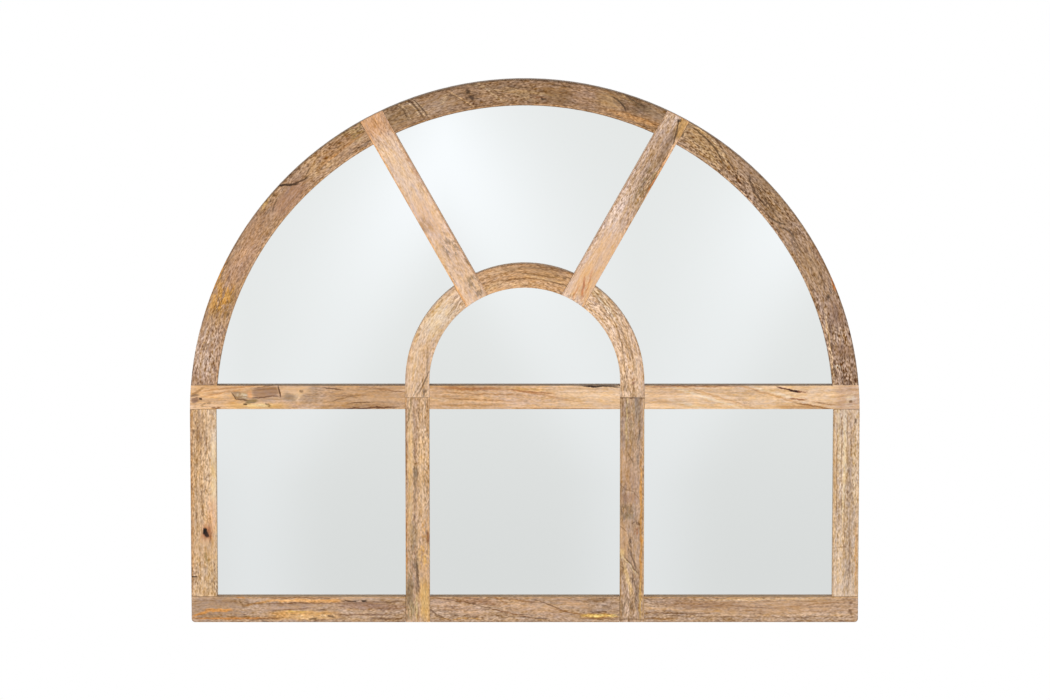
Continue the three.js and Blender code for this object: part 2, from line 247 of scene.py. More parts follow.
# The line that a board's grain follows: a straight one through a point, or an arc round a point on
# the mirror's middle line. A side of -1 or 1 runs on down a straight leg, on the left or the right.
Straight = namedtuple("Straight", "x height turn")
Bent = namedtuple("Bent", "height radius side")

# A band of painted light or shade along one side of a board, so far in from its rim: a darker band is
# painted shade where the rounded rim turns away from the light, and a lighter one is a painted
# highlight where the rim catches it.
Edge = namedtuple("Edge", "side inset width tone share")

# A knot, a streak, a patch, or a line of painted shade along an edge. soft is the share of its size
# that fades, bend how far its ends rise above its middle, and calm how much it quietens the specks. A
# flecked one shows in flecks alone.
Mark = namedtuple(
    "Mark", "x height length width turn tone share soft bend flecked calm", defaults=(0, False, 0)
)

SPOKE_LEAN = 29.5
SPOKE_MEETING = 19.2
POST_SPACING = 321
OUTER_CENTRE = -23.8
OUTER_RADIUS = 480.5
INNER_CENTRE = 22.3
INNER_RADIUS = POST_SPACING / 2
STILE_MIDDLE = 480.5
RAIL_HEIGHT = -322
HALF_FRAME = 19.5
HALF_BAR = 18

# Painted shade along the outer rim and a thin line of it in from the inner rim, then a painted
# highlight on the inner round-over.
OUTER_ARCH_EDGE_SHADING = [
    Edge(1, 1.3, 1.2, 0x5C452F, 0.75),
    Edge(-1, 3.6, 1.0, 0x80552E, 0.45),
    Edge(-1, 2.2, 1.0, 0xD6A470, 0.6),
]
# Painted shade along the outer rim and a painted highlight along the inner one.
INNER_ARCH_EDGE_SHADING = [
    Edge(1, 1.3, 1.2, 0xA67648, 0.4),
    Edge(-1, 1.6, 1.2, 0xD9A872, 0.4),
]

TRANSOM_RAIL_MARKS = [
    Mark(-452, 2, 105, 40, 0, 0xE4B480, 0.75, 0.5, calm=0.6),
    Mark(-240, 0, 130, 45, 0, 0xB88E64, 0.8, 0.5),
    Mark(-322, 3, 34, 28, 10, 0xAC8C6E, 0.75, 0.5),
    Mark(-345, 11, 44, 13, 0, 0xEDC090, 0.9, 0.4, calm=0.8),
    Mark(-340, 2, 14, 9, 40, 0xEECAA2, 0.8, 0.5),
    Mark(-385, -2, 72, 9, 4, 0xBC9876, 0.75, 0.4, calm=0.6),
    Mark(-355, -12, 50, 9, 0, 0xC69C78, 0.6, 0.5),
    Mark(-398, -13, 84, 8, 0, 0xE8B876, 0.8, 0.4, calm=0.5),
    Mark(-397, -12, 36, 3.4, 0, 0xF6D69C, 0.8, 0.4),
    Mark(-387, 8, 39, 13.5, 4, 0xAC876B, 0.95, 0.15, calm=0.6),
    Mark(-366, 9, 2.4, 15, 8, 0x5E3C28, 0.9, 0.3),
    Mark(-388, 0.6, 42, 2, 3, 0x6A4630, 0.8, 0.4),
    Mark(-388, 16, 38, 1.8, 7, 0x8A5E3C, 0.7, 0.4),
    Mark(-411, 4, 7, 9, 0, 0xE6AC7C, 0.9, 0.4),
    Mark(-425, 3, 22, 11, -14, 0xA58666, 0.9, 0.25),
    Mark(-422, 3, 15, 8, -14, 0xE6D0B0, 0.7, 0.3, flecked=True),
    Mark(-434, 2, 2, 12, 30, 0x5E402A, 0.85, 0.4),
    Mark(-422, -4, 20, 2, -8, 0x5E402A, 0.85, 0.4),
    Mark(-408, -6, 18, 5.5, 10, 0x947A50, 0.9, 0.3),
    Mark(-417, -11, 6, 3.4, 0, 0x5E4226, 0.9, 0.4),
    Mark(-384, -11, 9, 4, -30, 0x7A5A38, 0.85, 0.4, flecked=True),
    Mark(-351, 0, 18, 11, -14, 0xA28669, 0.85, 0.5, calm=0.4),
    Mark(-334, 9, 6, 3.4, 0, 0x8A6E56, 0.8, 0.4),
    Mark(-233, -16, 78, 2.6, 2, 0x6E4424, 0.95, 0.4),
    Mark(-287, 13, 30, 2, -9, 0x6A4428, 0.8, 0.4),
    Mark(-272, -2, 44, 1.8, 14, 0x8A6642, 0.7, 0.4),
    Mark(-246, -8, 36, 1.8, 5, 0x74502E, 0.75, 0.4),
    Mark(-200, 10, 40, 2, -6, 0x8E6038, 0.7, 0.4),
    Mark(-222, 14, 46, 2, -3, 0x9A6A40, 0.6, 0.4),
    Mark(-492, -4, 11, 7, 20, 0x98735A, 0.9, 0.35),
    Mark(-484, -2.5, 4.4, 3.4, 0, 0x3E281A, 0.95, 0.4),
    Mark(-489, 8, 22, 3, 33, 0x9E703E, 0.7, 0.5),
    Mark(-492, 3, 11, 3, 10, 0x7A5C44, 0.8, 0.5),
    Mark(-478, -11, 26, 5, 10, 0x947454, 0.7, 0.5, flecked=True),
    Mark(-461, -16.5, 12, 2, 0, 0x74461F, 0.85, 0.5),
    Mark(-438, 14, 90, 2, 7, 0xC48446, 0.7, 0.4),
    Mark(-450, 7, 64, 2, 11, 0xCA8C52, 0.6, 0.4),
    Mark(-143, 0, 2.2, 34, 0, 0x6A3C22, 0.75, 0.4, flecked=True),
    Mark(-115, -3, 56, 3, -2, 0xEACAA0, 0.8, 0.5),
    Mark(-90, 0, 100, 45, 0, 0xC99C6C, 0.6, 0.8),
    Mark(-82, 13, 92, 4.5, -1, 0xA87044, 0.85, 0.5),
    Mark(-64, 5, 120, 2.2, -2, 0xAE7C4A, 0.75, 0.5),
    Mark(-70, -4, 110, 2.2, -2, 0xB07E50, 0.7, 0.5),
    Mark(-84, -12, 92, 3.4, 0, 0xB08252, 0.7, 0.5),
    Mark(2, 12, 70, 4, -3, 0xCFA062, 0.7, 0.5),
    Mark(10, 8, 76, 2.4, -6, 0xA86E3E, 0.85, 0.4),
    Mark(24, 4, 70, 2.2, -9, 0xB88052, 0.75, 0.4),
    Mark(66, -5, 60, 2.4, -11, 0xB87E50, 0.8, 0.4),
    Mark(98, 0, 110, 40, 0, 0xE6C096, 0.7, 0.7, calm=0.4),
    Mark(60, -17.4, 170, 2, 0, 0xB07A46, 0.7, 0.5),
    # Painted shadow along the top edge of the transom, where the recess of the glass falls in shade.
    Mark(114, 16.6, 60, 2.8, -1, 0x2E1A0E, 1.0, 0.4),
    Mark(335, 0, 350, 90, 0, 0xE9C39A, 0.85, 0.4, calm=0.5),
    Mark(262, 2, 120, 3.4, -17, 0xF2D8B8, 0.8, 0.5),
    Mark(290, 0, 120, 2.2, -17, 0xD2A070, 0.7, 0.5),
    Mark(232, -8, 70, 3.4, -15, 0xF2D8B8, 0.7, 0.5),
    Mark(366, 4, 90, 2.6, -17, 0xCE9C6C, 0.75, 0.5),
    Mark(372, 7, 80, 3.4, -16, 0xF2D8B8, 0.7, 0.5),
    Mark(326, -7, 24, 14, -12, 0xC29C7A, 0.75, 0.5, flecked=True),
    Mark(206, 5, 46, 26, 0, 0xD9AE84, 0.6, 0.7),
    # Painted shade along the top edge of the transom, where the recess of the glass falls in shade.
    Mark(256, 16.4, 150, 2, 0, 0xA66C46, 0.75, 0.5),
    Mark(388, 13, 24, 2, -14, 0x6A3A28, 0.95, 0.35),
    Mark(402, 10, 18, 3.4, -9, 0x35160F, 1.0, 0.35),
    Mark(414, 8.4, 13, 2, -3, 0x8A5030, 0.85, 0.4),
    Mark(408, -3, 24, 2.4, -3, 0x96582A, 0.9, 0.4),
    Mark(436, -14, 60, 2.6, -10, 0x94622F, 0.9, 0.4),
    Mark(412, -15, 70, 5, -2, 0xBC8A56, 0.7, 0.6),
    Mark(446, -9, 40, 2, -9, 0xB07E4E, 0.7, 0.4),
    Mark(482, 0, 34, 40, 0, 0xCCA688, 0.85, 0.35),
    Mark(487, -4, 16, 22, 0, 0xF0DCC2, 0.5, 0.5, flecked=True),
    Mark(487, -7, 5, 5, 0, 0x7E5A3E, 0.85, 0.5, flecked=True),
]
BOTTOM_RAIL_MARKS = [
    Mark(-463, -318, 76, 40, 0, 0xAC8A6C, 0.8, 0.5, calm=0.4),
    Mark(-459, -323, 36, 4, 0, 0xDE9A50, 0.95, 0.4),
    Mark(-486, -328, 26, 3.8, 20, 0xD8944A, 0.9, 0.4),
    Mark(-440, -335.5, 110, 3, 0, 0xCC8A48, 0.85, 0.4),
    Mark(-427, -303, 12, 3, -10, 0xCE8E4E, 0.9, 0.4),
    Mark(-426, -312, 18, 2.6, -60, 0x7A5A3C, 0.7, 0.5, flecked=True),
    Mark(-418, -317, 20, 2.6, 25, 0x7E5E40, 0.6, 0.5),
    Mark(-398, -312, 44, 3, 12, 0xB88448, 0.85, 0.4),
    Mark(-355, -318, 80, 10, 3, 0xBC9A80, 0.85, 0.4, calm=0.6),
    Mark(-326, -308.5, 112, 4.8, 0, 0xE6AA68, 0.95, 0.4),
    Mark(-336, -304, 110, 2.2, 0, 0x8E6238, 0.8, 0.4),
    Mark(-336, -312.5, 90, 2, 1, 0x8E6238, 0.75, 0.4),
    Mark(-350, -322, 70, 2, 4, 0x8A6444, 0.75, 0.4),
    Mark(-262, -309, 26, 2.8, 0, 0x4E3424, 0.9, 0.4, flecked=True),
    Mark(-241, -309, 9, 3, -12, 0x2A1A12, 0.95, 0.5),
    Mark(-334, -331, 98, 13, 0, 0xD8A464, 0.8, 0.35),
    Mark(-332, -332, 96, 12, 0, 0xA8743A, 0.5, 0.4, flecked=True),
    Mark(-342, -326, 50, 3, -2, 0xECC064, 0.8, 0.4, flecked=True),
    Mark(-318, -333, 60, 7, 0, 0xF0C692, 0.8, 0.4, flecked=True),
    Mark(-306, -322, 12, 2.6, 0, 0x6A4C30, 0.75, 0.5),
    Mark(-318, -336, 13, 3, 0, 0x54381F, 0.8, 0.5),
    Mark(-291, -333, 11, 3, -16, 0x5E4228, 0.8, 0.5),
    Mark(-386, -336, 40, 2.4, 3, 0x8A5E34, 0.8, 0.4),
    Mark(-228, -317, 104, 9, -2, 0xA07A62, 0.75, 0.5),
    Mark(-226, -311, 90, 2.2, 2, 0x7E5C44, 0.7, 0.4),
    Mark(-240, -323, 80, 2.2, -2, 0xCDA684, 0.7, 0.4),
    Mark(-240, -330, 84, 2.2, 0, 0x86624A, 0.75, 0.4),
    Mark(-206, -336, 44, 3, 0, 0x7A583C, 0.8, 0.4),
    Mark(-134, -327, 30, 2, -33, 0x745438, 0.7, 0.4),
    Mark(-100, -319, 84, 15, -12, 0xCBA586, 0.75, 0.4, calm=0.2),
    Mark(-108, -308, 70, 2.2, -9, 0x8A6040, 0.7, 0.4),
    Mark(-62, -318, 60, 2, -14, 0x7E5C3E, 0.7, 0.4),
    Mark(-16, -328.5, 60, 2, -13, 0x906238, 0.7, 0.4),
    Mark(-92, -336, 64, 2.8, 0, 0xC08A3C, 0.8, 0.5, flecked=True),
    Mark(-92, -332, 70, 2.2, -6, 0x8A6642, 0.65, 0.4, flecked=True),
    Mark(-70, -309, 66, 9, -8, 0xA87A58, 0.6, 0.6),
    Mark(-36, -308, 26, 2.4, -30, 0x9A6A3A, 0.8, 0.4),
    Mark(18, -321, 90, 18, -10, 0xCBA482, 0.75, 0.5, calm=0.2),
    Mark(-10, -308, 60, 2.2, -6, 0x94683E, 0.75, 0.4),
    Mark(37, -315, 46, 2, -22, 0x74502F, 0.75, 0.4),
    Mark(70, -327, 52, 2.2, -13, 0xA0703E, 0.7, 0.4),
    Mark(74, -313, 50, 9, -12, 0xCCA27C, 0.75, 0.5, calm=0.5),
    Mark(116, -313, 46, 19, 0, 0x8A6640, 0.75, 0.5, flecked=True),
    Mark(112, -332, 50, 8, 1, 0xA87436, 0.8, 0.4),
    Mark(112, -331.5, 46, 4.6, 1, 0xEEC068, 0.7, 0.4),
    Mark(112, -331.5, 46, 4, 1, 0xF6D888, 0.9, 0.4, flecked=True),
    Mark(110, -326, 50, 2.4, 2, 0x74502A, 0.75, 0.4, flecked=True),
    Mark(116, -336.5, 50, 2.2, 0, 0x7A5228, 0.8, 0.4),
    Mark(8, -334.5, 66, 2.6, -3, 0x6A4E38, 0.7, 0.4, flecked=True),
    Mark(262, -314, 96, 12, -2, 0xA47C5A, 0.75, 0.6),
    Mark(246, -323, 140, 4, -3, 0xD8B08A, 0.85, 0.5, calm=0.5),
    Mark(236, -328, 116, 2.2, -2, 0x8A6444, 0.65, 0.4),
    Mark(206, -336, 56, 3, 0, 0x8E6434, 0.8, 0.4),
    Mark(326, -333.5, 190, 2, 0, 0x94704E, 0.65, 0.4),
    Mark(372, -330.5, 210, 2.6, 0, 0xE0BC98, 0.75, 0.4),
    Mark(364, -306, 180, 3.4, 1, 0xE2BA8A, 0.75, 0.4),
    Mark(366, -310, 170, 2, 1, 0xA0764C, 0.7, 0.4),
    Mark(400, -320, 180, 20, 1, 0xC8A07C, 0.7, 0.7, calm=0.5),
    Mark(330, -317, 90, 2.2, -4, 0x96704E, 0.7, 0.4),
    Mark(436, -314, 100, 2.2, 5, 0xA27850, 0.75, 0.4),
    Mark(450, -324, 80, 2, 2, 0xA67E58, 0.65, 0.4),
    Mark(489, -312, 5, 3, 0, 0x7A5A40, 0.7, 0.5),
    Mark(488, -325, 5, 12, 0, 0x6E4E34, 0.75, 0.5, flecked=True),
]
LEFT_STILE_MARKS = [
    Mark(-497, -150, 2.6, 280, 0, 0xC8925A, 0.65, 0.4),
    Mark(-487, -100, 16, 180, 0, 0xC29A70, 0.6, 0.6),
    Mark(-490, -46, 16, 45, 0, 0xAE8A6C, 0.6, 0.6, flecked=True),
    Mark(-465, -118, 8, 116, 0, 0xEACEA8, 0.85, 0.5, calm=0.8),
    Mark(-476, -90, 2.2, 90, -1, 0x9A744A, 0.7, 0.4, flecked=True),
    Mark(-484, -130, 2, 110, 1, 0x94704A, 0.75, 0.4, flecked=True),
    Mark(-491, -140, 2, 120, 0, 0x9A764C, 0.7, 0.4, flecked=True),
    Mark(-478, -56, 2, 44, 10, 0xA67C50, 0.7, 0.4),
    Mark(-468, -176, 14, 44, 0, 0xDDAC84, 0.7, 0.6, calm=0.6),
    Mark(-475, -206, 20, 34, -5, 0xDCAC82, 0.85, 0.3, calm=0.8),
    Mark(-471, -214, 2, 17, -12, 0x8A5430, 0.85, 0.4, bend=3),
    Mark(-476.5, -205, 12, 20, -5, 0xA8643A, 0.8, 0.45),
    Mark(-479, -202, 7, 9, 0, 0x050203, 1.0, 0.4),
    Mark(-476.5, -208, 6, 9, 25, 0x180806, 0.95, 0.4),
    Mark(-475, -187, 10, 12, 0, 0xA8783E, 0.85, 0.5, flecked=True),
    Mark(-478, -232, 36, 30, 0, 0xDAB48C, 0.75, 0.5, calm=0.7),
    Mark(-495, -272, 8, 2, -3, 0x3E2A18, 0.9, 0.4),
    Mark(-477, -243, 5, 16, 5, 0x86703E, 0.75, 0.5, flecked=True),
    Mark(-487, -256, 2.2, 90, 0, 0xA07840, 0.7, 0.5, flecked=True),
    Mark(-470, -270, 14, 60, 0, 0xC8A478, 0.6, 0.6),
]
RIGHT_STILE_MARKS = [
    Mark(478, -98, 4.5, 156, 0, 0xE8CEA8, 0.75, 0.5, calm=0.4),
    Mark(469, -60, 4.5, 90, 1, 0xE0C298, 0.75, 0.5),
    Mark(473.5, -90, 2, 150, 0, 0xA88460, 0.7, 0.4),
    Mark(482.5, -90, 2, 150, 1, 0xA07A56, 0.7, 0.4),
    Mark(488, -70, 9, 90, 0, 0xC4A284, 0.6, 0.6),
    Mark(487, -170, 13, 200, 0, 0xB89A7C, 0.6, 0.6),
    Mark(463, -130, 4.5, 200, 0, 0xDAB07C, 0.6, 0.5),
    Mark(466.5, -110, 1.8, 150, 0, 0xA87C4C, 0.7, 0.4),
    Mark(492, -120, 3, 90, 2, 0xE2C6A4, 0.75, 0.4),
    Mark(496, -243, 3, 110, 0, 0xCE9858, 0.75, 0.5),
    Mark(494, -36, 3, 7.5, 0, 0x5A4028, 0.8, 0.5),
    Mark(472, -170, 12, 50, 0, 0x9A7656, 0.6, 0.6, flecked=True),
    Mark(476, -165, 2.2, 50, 0, 0xEAD2B0, 0.75, 0.4),
    Mark(474, -227, 14, 2, 0, 0x9A7450, 0.7, 0.4),
    Mark(478, -200, 2, 110, -1, 0xA27C58, 0.65, 0.4),
    Mark(486, -240, 2, 110, 0, 0x947254, 0.65, 0.4),
    Mark(469, -250, 2.6, 80, 1, 0xE0BE98, 0.7, 0.4),
    Mark(487, -276, 18, 39, 0, 0xA08468, 0.6, 0.6, flecked=True),
]
OUTER_ARCH_LEFT_MARKS = [
    Mark(-258, 394, 46, 26, 33, 0xA98D5C, 0.75, 0.6, flecked=True),
    Mark(-243, 376, 40, 3, 33, 0x46301C, 0.59, 0.4, flecked=True),
    Mark(-262, 402, 40, 2.2, 36, 0x5E4428, 0.66, 0.4),
    Mark(-305, 350, 44, 34, 40, 0xCFA676, 0.6, 0.6, flecked=True),
    Mark(-282, 372, 60, 20, 40, 0xA87E58, 0.6, 0.7),
    Mark(-349, 299, 62, 25, 50, 0xAE8467, 0.85, 0.4, calm=0.5),
    Mark(-354, 319, 36, 3, 3, 0x38220F, 0.95, 0.4),
    Mark(-332, 325, 24, 2.6, 30, 0x4A3018, 0.85, 0.4),
    Mark(-323, 336, 20, 2.2, 62, 0x64482C, 0.66, 0.4),
    Mark(-376, 297, 38, 3.4, 72, 0x4E3820, 0.59, 0.4, flecked=True),
    Mark(-386, 290, 34, 7, 58, 0xC49A58, 0.75, 0.5, flecked=True),
    Mark(-372, 286, 20, 2, 70, 0x5E4428, 0.66, 0.4),
    Mark(-422, 202, 96, 26, 59, 0xC29776, 0.8, 0.5, calm=0.4),
    Mark(-398, 258, 50, 30, 54, 0xB48A68, 0.6, 0.6, calm=0.3),
    Mark(-456, 182, 60, 3.6, 64, 0xDE9B42, 0.95, 0.4),
    Mark(-450, 186, 50, 2.6, 63, 0x4A3018, 0.62, 0.4, flecked=True),
    Mark(-452, 148, 56, 36, 70, 0xD09C56, 0.75, 0.6, flecked=True),
    Mark(-446, 142, 44, 26, 70, 0x64481F, 0.62, 0.5, flecked=True),
    Mark(-449, 150, 40, 24, 66, 0xE2A24A, 0.55, 0.4, flecked=True),
    Mark(-468, 105, 40, 22, 75, 0xC69A62, 0.65, 0.6, flecked=True),
    Mark(-478, 58, 90, 45, 84, 0xA98872, 0.75, 0.7),
    Mark(-476, 70, 80, 32, 84, 0xE0C2AA, 0.6, 0.5, flecked=True),
    Mark(-448, 75, 5.1, 111, -12, 0xD9A878, 0.7, 0.5),
    Mark(-269, 373, 75, 3, 38, 0xC48E58, 0.7, 0.5),
]
OUTER_ARCH_TOP_MARKS = [
    Mark(-186, 422, 54, 27, 24, 0x9A7C5A, 0.6, 0.6),
    Mark(-126, 439, 60, 22, 18, 0xAA8B70, 0.75, 0.6, calm=0.4),
    Mark(-181, 430, 34, 1.9, -52, 0x5E462C, 0.66, 0.4, bend=-3),
    Mark(-177, 431, 34, 1.9, -52, 0xC6A680, 0.7, 0.4, bend=-3),
    Mark(-165, 434, 30, 1.9, -48, 0xCFB08A, 0.79, 0.4, bend=-2),
    Mark(-161, 434, 32, 1.9, -49, 0x4E3820, 0.74, 0.4, bend=-2),
    Mark(-157, 434, 32, 1.9, -50, 0xCFB08A, 0.79, 0.4, bend=-2),
    Mark(-153, 434, 32, 1.9, -51, 0x4E3820, 0.74, 0.4, bend=-2),
    Mark(-149, 433, 30, 1.8, -52, 0xC0A07A, 0.62, 0.4, bend=-2),
    Mark(-119, 448, 20, 7, 62, 0xC8A884, 0.8, 0.5, flecked=True),
    Mark(-118, 460, 26, 4.4, -6, 0x44301C, 0.74, 0.5, flecked=True),
    Mark(-100, 454, 26, 2.6, 8, 0x54381E, 0.7, 0.5),
    Mark(-92, 446, 42, 2.2, -32, 0xD2A878, 0.7, 0.4),
    Mark(-98, 448, 36, 2, -30, 0x6A4A2C, 0.57, 0.4),
    Mark(-81, 453, 17, 15, 0, 0x5A3E26, 0.7, 0.4, flecked=True),
    Mark(-84, 457, 7, 6, 0, 0x2E1E12, 0.78, 0.5),
    Mark(-79, 448, 8, 4, -30, 0x38261A, 0.78, 0.5),
    Mark(-67, 446, 17, 4, -6, 0x4A321E, 0.74, 0.5, flecked=True),
    Mark(-75, 467, 14, 3.7, -10, 0x44301E, 0.74, 0.5),
    Mark(-44, 452, 62, 2.2, -36, 0xC6A680, 0.7, 0.4),
    Mark(-50, 462, 56, 2.2, -10, 0xC0A07A, 0.62, 0.4),
    Mark(-38, 456, 60, 2, -32, 0x6A4E30, 0.57, 0.4),
    Mark(-38, 464, 60, 14, 4, 0x86684A, 0.44, 0.7, flecked=True),
    Mark(-6, 454, 44, 10, -22, 0xA6845A, 0.6, 0.6),
    Mark(22, 455, 50, 4, -8, 0xB08E62, 0.6, 0.5),
    Mark(10, 462, 60, 2, -10, 0x6E5030, 0.57, 0.4),
    Mark(20, 449, 30, 4, -4, 0x7A4C26, 0.74, 0.4, flecked=True),
    Mark(28, 446, 8, 3.6, -5, 0x26180F, 0.8, 0.4),
    Mark(50, 451, 36, 22, -6, 0x86633C, 0.62, 0.6, calm=0.5),
    Mark(60, 466, 40, 2.2, -10, 0x64482C, 0.57, 0.4),
    Mark(90, 452, 34, 30, -10, 0xB08B70, 0.55, 0.6, calm=0.2),
    Mark(124, 446, 34, 20, -16, 0xB08A5E, 0.75, 0.6, calm=0.5),
    Mark(158, 441, 48, 22, -28, 0x745838, 0.7, 0.5, flecked=True),
    Mark(144, 440, 30, 2.6, -52, 0x3E2A18, 0.78, 0.4, bend=-4),
    Mark(166, 441, 40, 2.4, -30, 0x443018, 0.74, 0.4, bend=3),
    Mark(174, 434, 26, 9, -22, 0x5A4226, 0.66, 0.5),
    Mark(152, 447, 20, 3, -36, 0xC09C72, 0.8, 0.5),
    Mark(162, 418, 84, 7.5, -17, 0xC8935C, 0.8, 0.5),
    Mark(166, 421, 70, 1.8, -19, 0x8A5E34, 0.62, 0.4),
    Mark(192, 428, 36, 14, -24, 0x9E8060, 0.6, 0.7),
]
OUTER_ARCH_RIGHT_MARKS = [
    Mark(264, 380, 110, 34, -43, 0xB58E5E, 0.75, 0.7),
    Mark(237, 403, 9, 15, 0, 0x5A4428, 0.49, 0.5, flecked=True),
    Mark(234, 393, 4.5, 4.5, 0, 0x3A2A18, 0.78, 0.4),
    Mark(277, 380, 78, 2.4, -50, 0x503818, 0.78, 0.35, bend=-7),
    Mark(281, 382, 78, 2, -50, 0xDDBA8C, 0.7, 0.4, bend=-7),
    Mark(285, 384, 74, 1.9, -51, 0x5E4426, 0.66, 0.4, bend=-6),
    Mark(268, 372, 60, 1.8, -46, 0x8C6A34, 0.53, 0.4, bend=-4),
    Mark(316, 338, 34, 2.8, 83, 0x2E1E12, 0.78, 0.4, bend=2, flecked=True),
    Mark(309, 342, 36, 1.9, -62, 0x5E4228, 0.66, 0.4, bend=-3),
    Mark(362, 302, 92, 36, -54, 0x9A7852, 0.7, 0.7),
    Mark(337, 315, 40, 2.1, -68, 0x4E3622, 0.74, 0.4, bend=4),
    Mark(348, 300, 56, 2.1, -55, 0x4E3622, 0.74, 0.4, bend=4),
    Mark(358, 296, 56, 1.9, -56, 0x5A4028, 0.66, 0.4, bend=4),
    Mark(366, 284, 50, 1.9, -58, 0x5A4028, 0.66, 0.4, bend=3),
    Mark(372, 265, 34, 2.4, -30, 0x44301C, 0.74, 0.4, bend=4),
    Mark(392, 251, 24, 2.6, -35, 0x3E2A1A, 0.78, 0.4, bend=-3),
    Mark(401, 237, 22, 2.6, -62, 0x3E2A1A, 0.78, 0.4, bend=3),
    Mark(418, 213, 44, 2.4, -44, 0x443020, 0.74, 0.4),
    Mark(438, 188, 34, 2.2, -64, 0x4E3826, 0.74, 0.4, bend=-2),
    Mark(432, 186, 44, 1.8, -64, 0x5E4630, 0.66, 0.4),
    Mark(444, 172, 44, 1.8, -74, 0x6A5038, 0.66, 0.4),
    Mark(417, 204, 90, 39, -62, 0xAA8661, 0.6, 0.8),
    Mark(437, 214, 26, 6, -58, 0x8A6448, 0.62, 0.5),
    Mark(459, 174, 26, 4.4, -74, 0xD0803E, 0.95, 0.4),
    Mark(454, 155, 20, 6, 82, 0x2E2018, 0.78, 0.4, flecked=True),
    Mark(464, 124, 44, 17, -76, 0x96745C, 0.75, 0.6, calm=0.5),
    Mark(470, 98, 26, 22, 0, 0xC6A68A, 0.7, 0.5, flecked=True),
    Mark(474, 70, 22, 19, -20, 0x94725A, 0.8, 0.5, calm=0.5),
    Mark(466, 45, 12, 7, 0, 0xE2CBB0, 0.85, 0.4, flecked=True),
    Mark(459, 70, 4.5, 100, 6, 0x64463A, 0.66, 0.5, flecked=True),
    Mark(455, 72, 3.2, 110, 8, 0xD8B288, 0.9, 0.4),
    Mark(472, 26, 24, 12, 0, 0x8A6A54, 0.62, 0.5, flecked=True),
    Mark(480, 48, 20, 26, 0, 0xA4846C, 0.6, 0.6),
]
LEFT_SPOKE_MARKS = [
    Mark(-222, 408, 40, 40, -60, 0xD09A6E, 0.75, 0.7),
    Mark(-203, 396, 5, 8, 0, 0x8A5E40, 0.62, 0.5, flecked=True),
    Mark(-170, 318, 30, 130, 29.5, 0xEBC8A8, 0.7, 0.6, calm=0.7),
    Mark(-168, 350, 8, 44, 31, 0xC08E66, 0.6, 0.5, flecked=True),
    Mark(-145, 268, 30, 60, 29.5, 0xE8BFA0, 0.6, 0.7, calm=0.6),
    Mark(-150, 258, 22, 24, 29, 0xB48E6C, 0.7, 0.5, flecked=True),
    Mark(-111, 224, 18, 27, 28, 0x745C42, 0.66, 0.4, flecked=True),
    Mark(-101, 232, 8, 16, 28, 0x8A7050, 0.6, 0.5, flecked=True),
    Mark(-89, 206, 7, 34, 29, 0x7A6040, 0.79, 0.5, flecked=True),
    Mark(-125, 205, 12, 50, 29, 0xE4BA8C, 0.6, 0.6, calm=0.5),
    Mark(-76, 172, 20, 24, 25, 0x8A7254, 0.66, 0.4, flecked=True),
    Mark(-68, 158, 11, 11, 20, 0x6A543C, 0.66, 0.5, flecked=True),
]
RIGHT_SPOKE_MARKS = [
    Mark(191, 326, 6, 160, -29.5, 0xE2A45E, 0.8, 0.5, flecked=True),
    Mark(196, 360, 36, 120, -29.5, 0xB08D6E, 0.75, 0.6),
    Mark(231, 405, 14, 36, -28, 0xC79A60, 0.95, 0.3),
    Mark(212, 378, 9, 60, -27, 0x97775A, 0.85, 0.6),
    Mark(227, 406, 2.2, 20, -8, 0x4A321E, 0.78, 0.4),
    Mark(229, 415, 4.5, 4, 0, 0x3A281A, 0.78, 0.4),
    Mark(222, 386, 2.4, 24, -14, 0x4A321E, 0.78, 0.4),
    Mark(212, 364, 2.4, 34, -31, 0x54381F, 0.78, 0.4),
    Mark(195, 334, 2.2, 36, -32, 0x5E4228, 0.74, 0.4),
    Mark(180, 306, 2.2, 30, -28, 0x6A4A2E, 0.66, 0.4),
    Mark(217, 370, 3.4, 34, -30, 0xE6B890, 0.95, 0.4),
    Mark(202, 342, 3.4, 40, -30.5, 0xE2A878, 0.95, 0.4),
    Mark(189, 320, 2.6, 24, -30, 0xC87A42, 0.85, 0.4),
    Mark(178, 318, 20, 70, -30, 0x8E744C, 0.66, 0.5, flecked=True),
    Mark(165, 283, 12, 26, -31, 0x8A7048, 0.7, 0.5, flecked=True),
    Mark(160, 270, 30, 50, -29.5, 0xC8A486, 0.7, 0.6),
    Mark(116, 208, 40, 80, -29.5, 0xE8BE98, 0.9, 0.5, calm=0.75),
    Mark(90, 170, 40, 50, -29.5, 0xE9BC92, 0.9, 0.5, calm=0.75),
    Mark(87, 165, 3, 30, -6, 0xCC8258, 0.85, 0.5),
    Mark(96, 176, 2.4, 34, -16, 0xDA9A6C, 0.7, 0.5),
    Mark(76, 158, 2.4, 24, -20, 0xD0905C, 0.7, 0.5),
]
INNER_ARCH_LEFT_MARKS = [
    Mark(-128, 118, 60, 30, 52, 0xEACFAE, 0.8, 0.7, calm=0.5),
    Mark(-103, 136, 36, 2, 57, 0x86643F, 0.5, 0.4),
    Mark(-108, 133, 30, 2, 55, 0x9A784E, 0.45, 0.4),
    Mark(-97, 137, 30, 2, 58, 0xB48E60, 0.62, 0.4),
    Mark(-161, 68, 12, 75, -8, 0xE2BE94, 0.5, 0.6),
    Mark(-146, 44, 4, 60, -3, 0xA88866, 0.65, 0.5),
    Mark(-150, 24, 34, 2.2, 66, 0x6A523C, 0.66, 0.4),
    Mark(-155, 14, 36, 2, 62, 0x7A6044, 0.6, 0.4),
    Mark(-160, 14, 32, 1.9, 60, 0x8E724E, 0.7, 0.4),
    Mark(-149, 6, 9, 12, 0, 0x7A6450, 0.75, 0.5, flecked=True),
    Mark(-166, 30, 20, 40, 0, 0xC9A478, 0.6, 0.6, flecked=True),
]
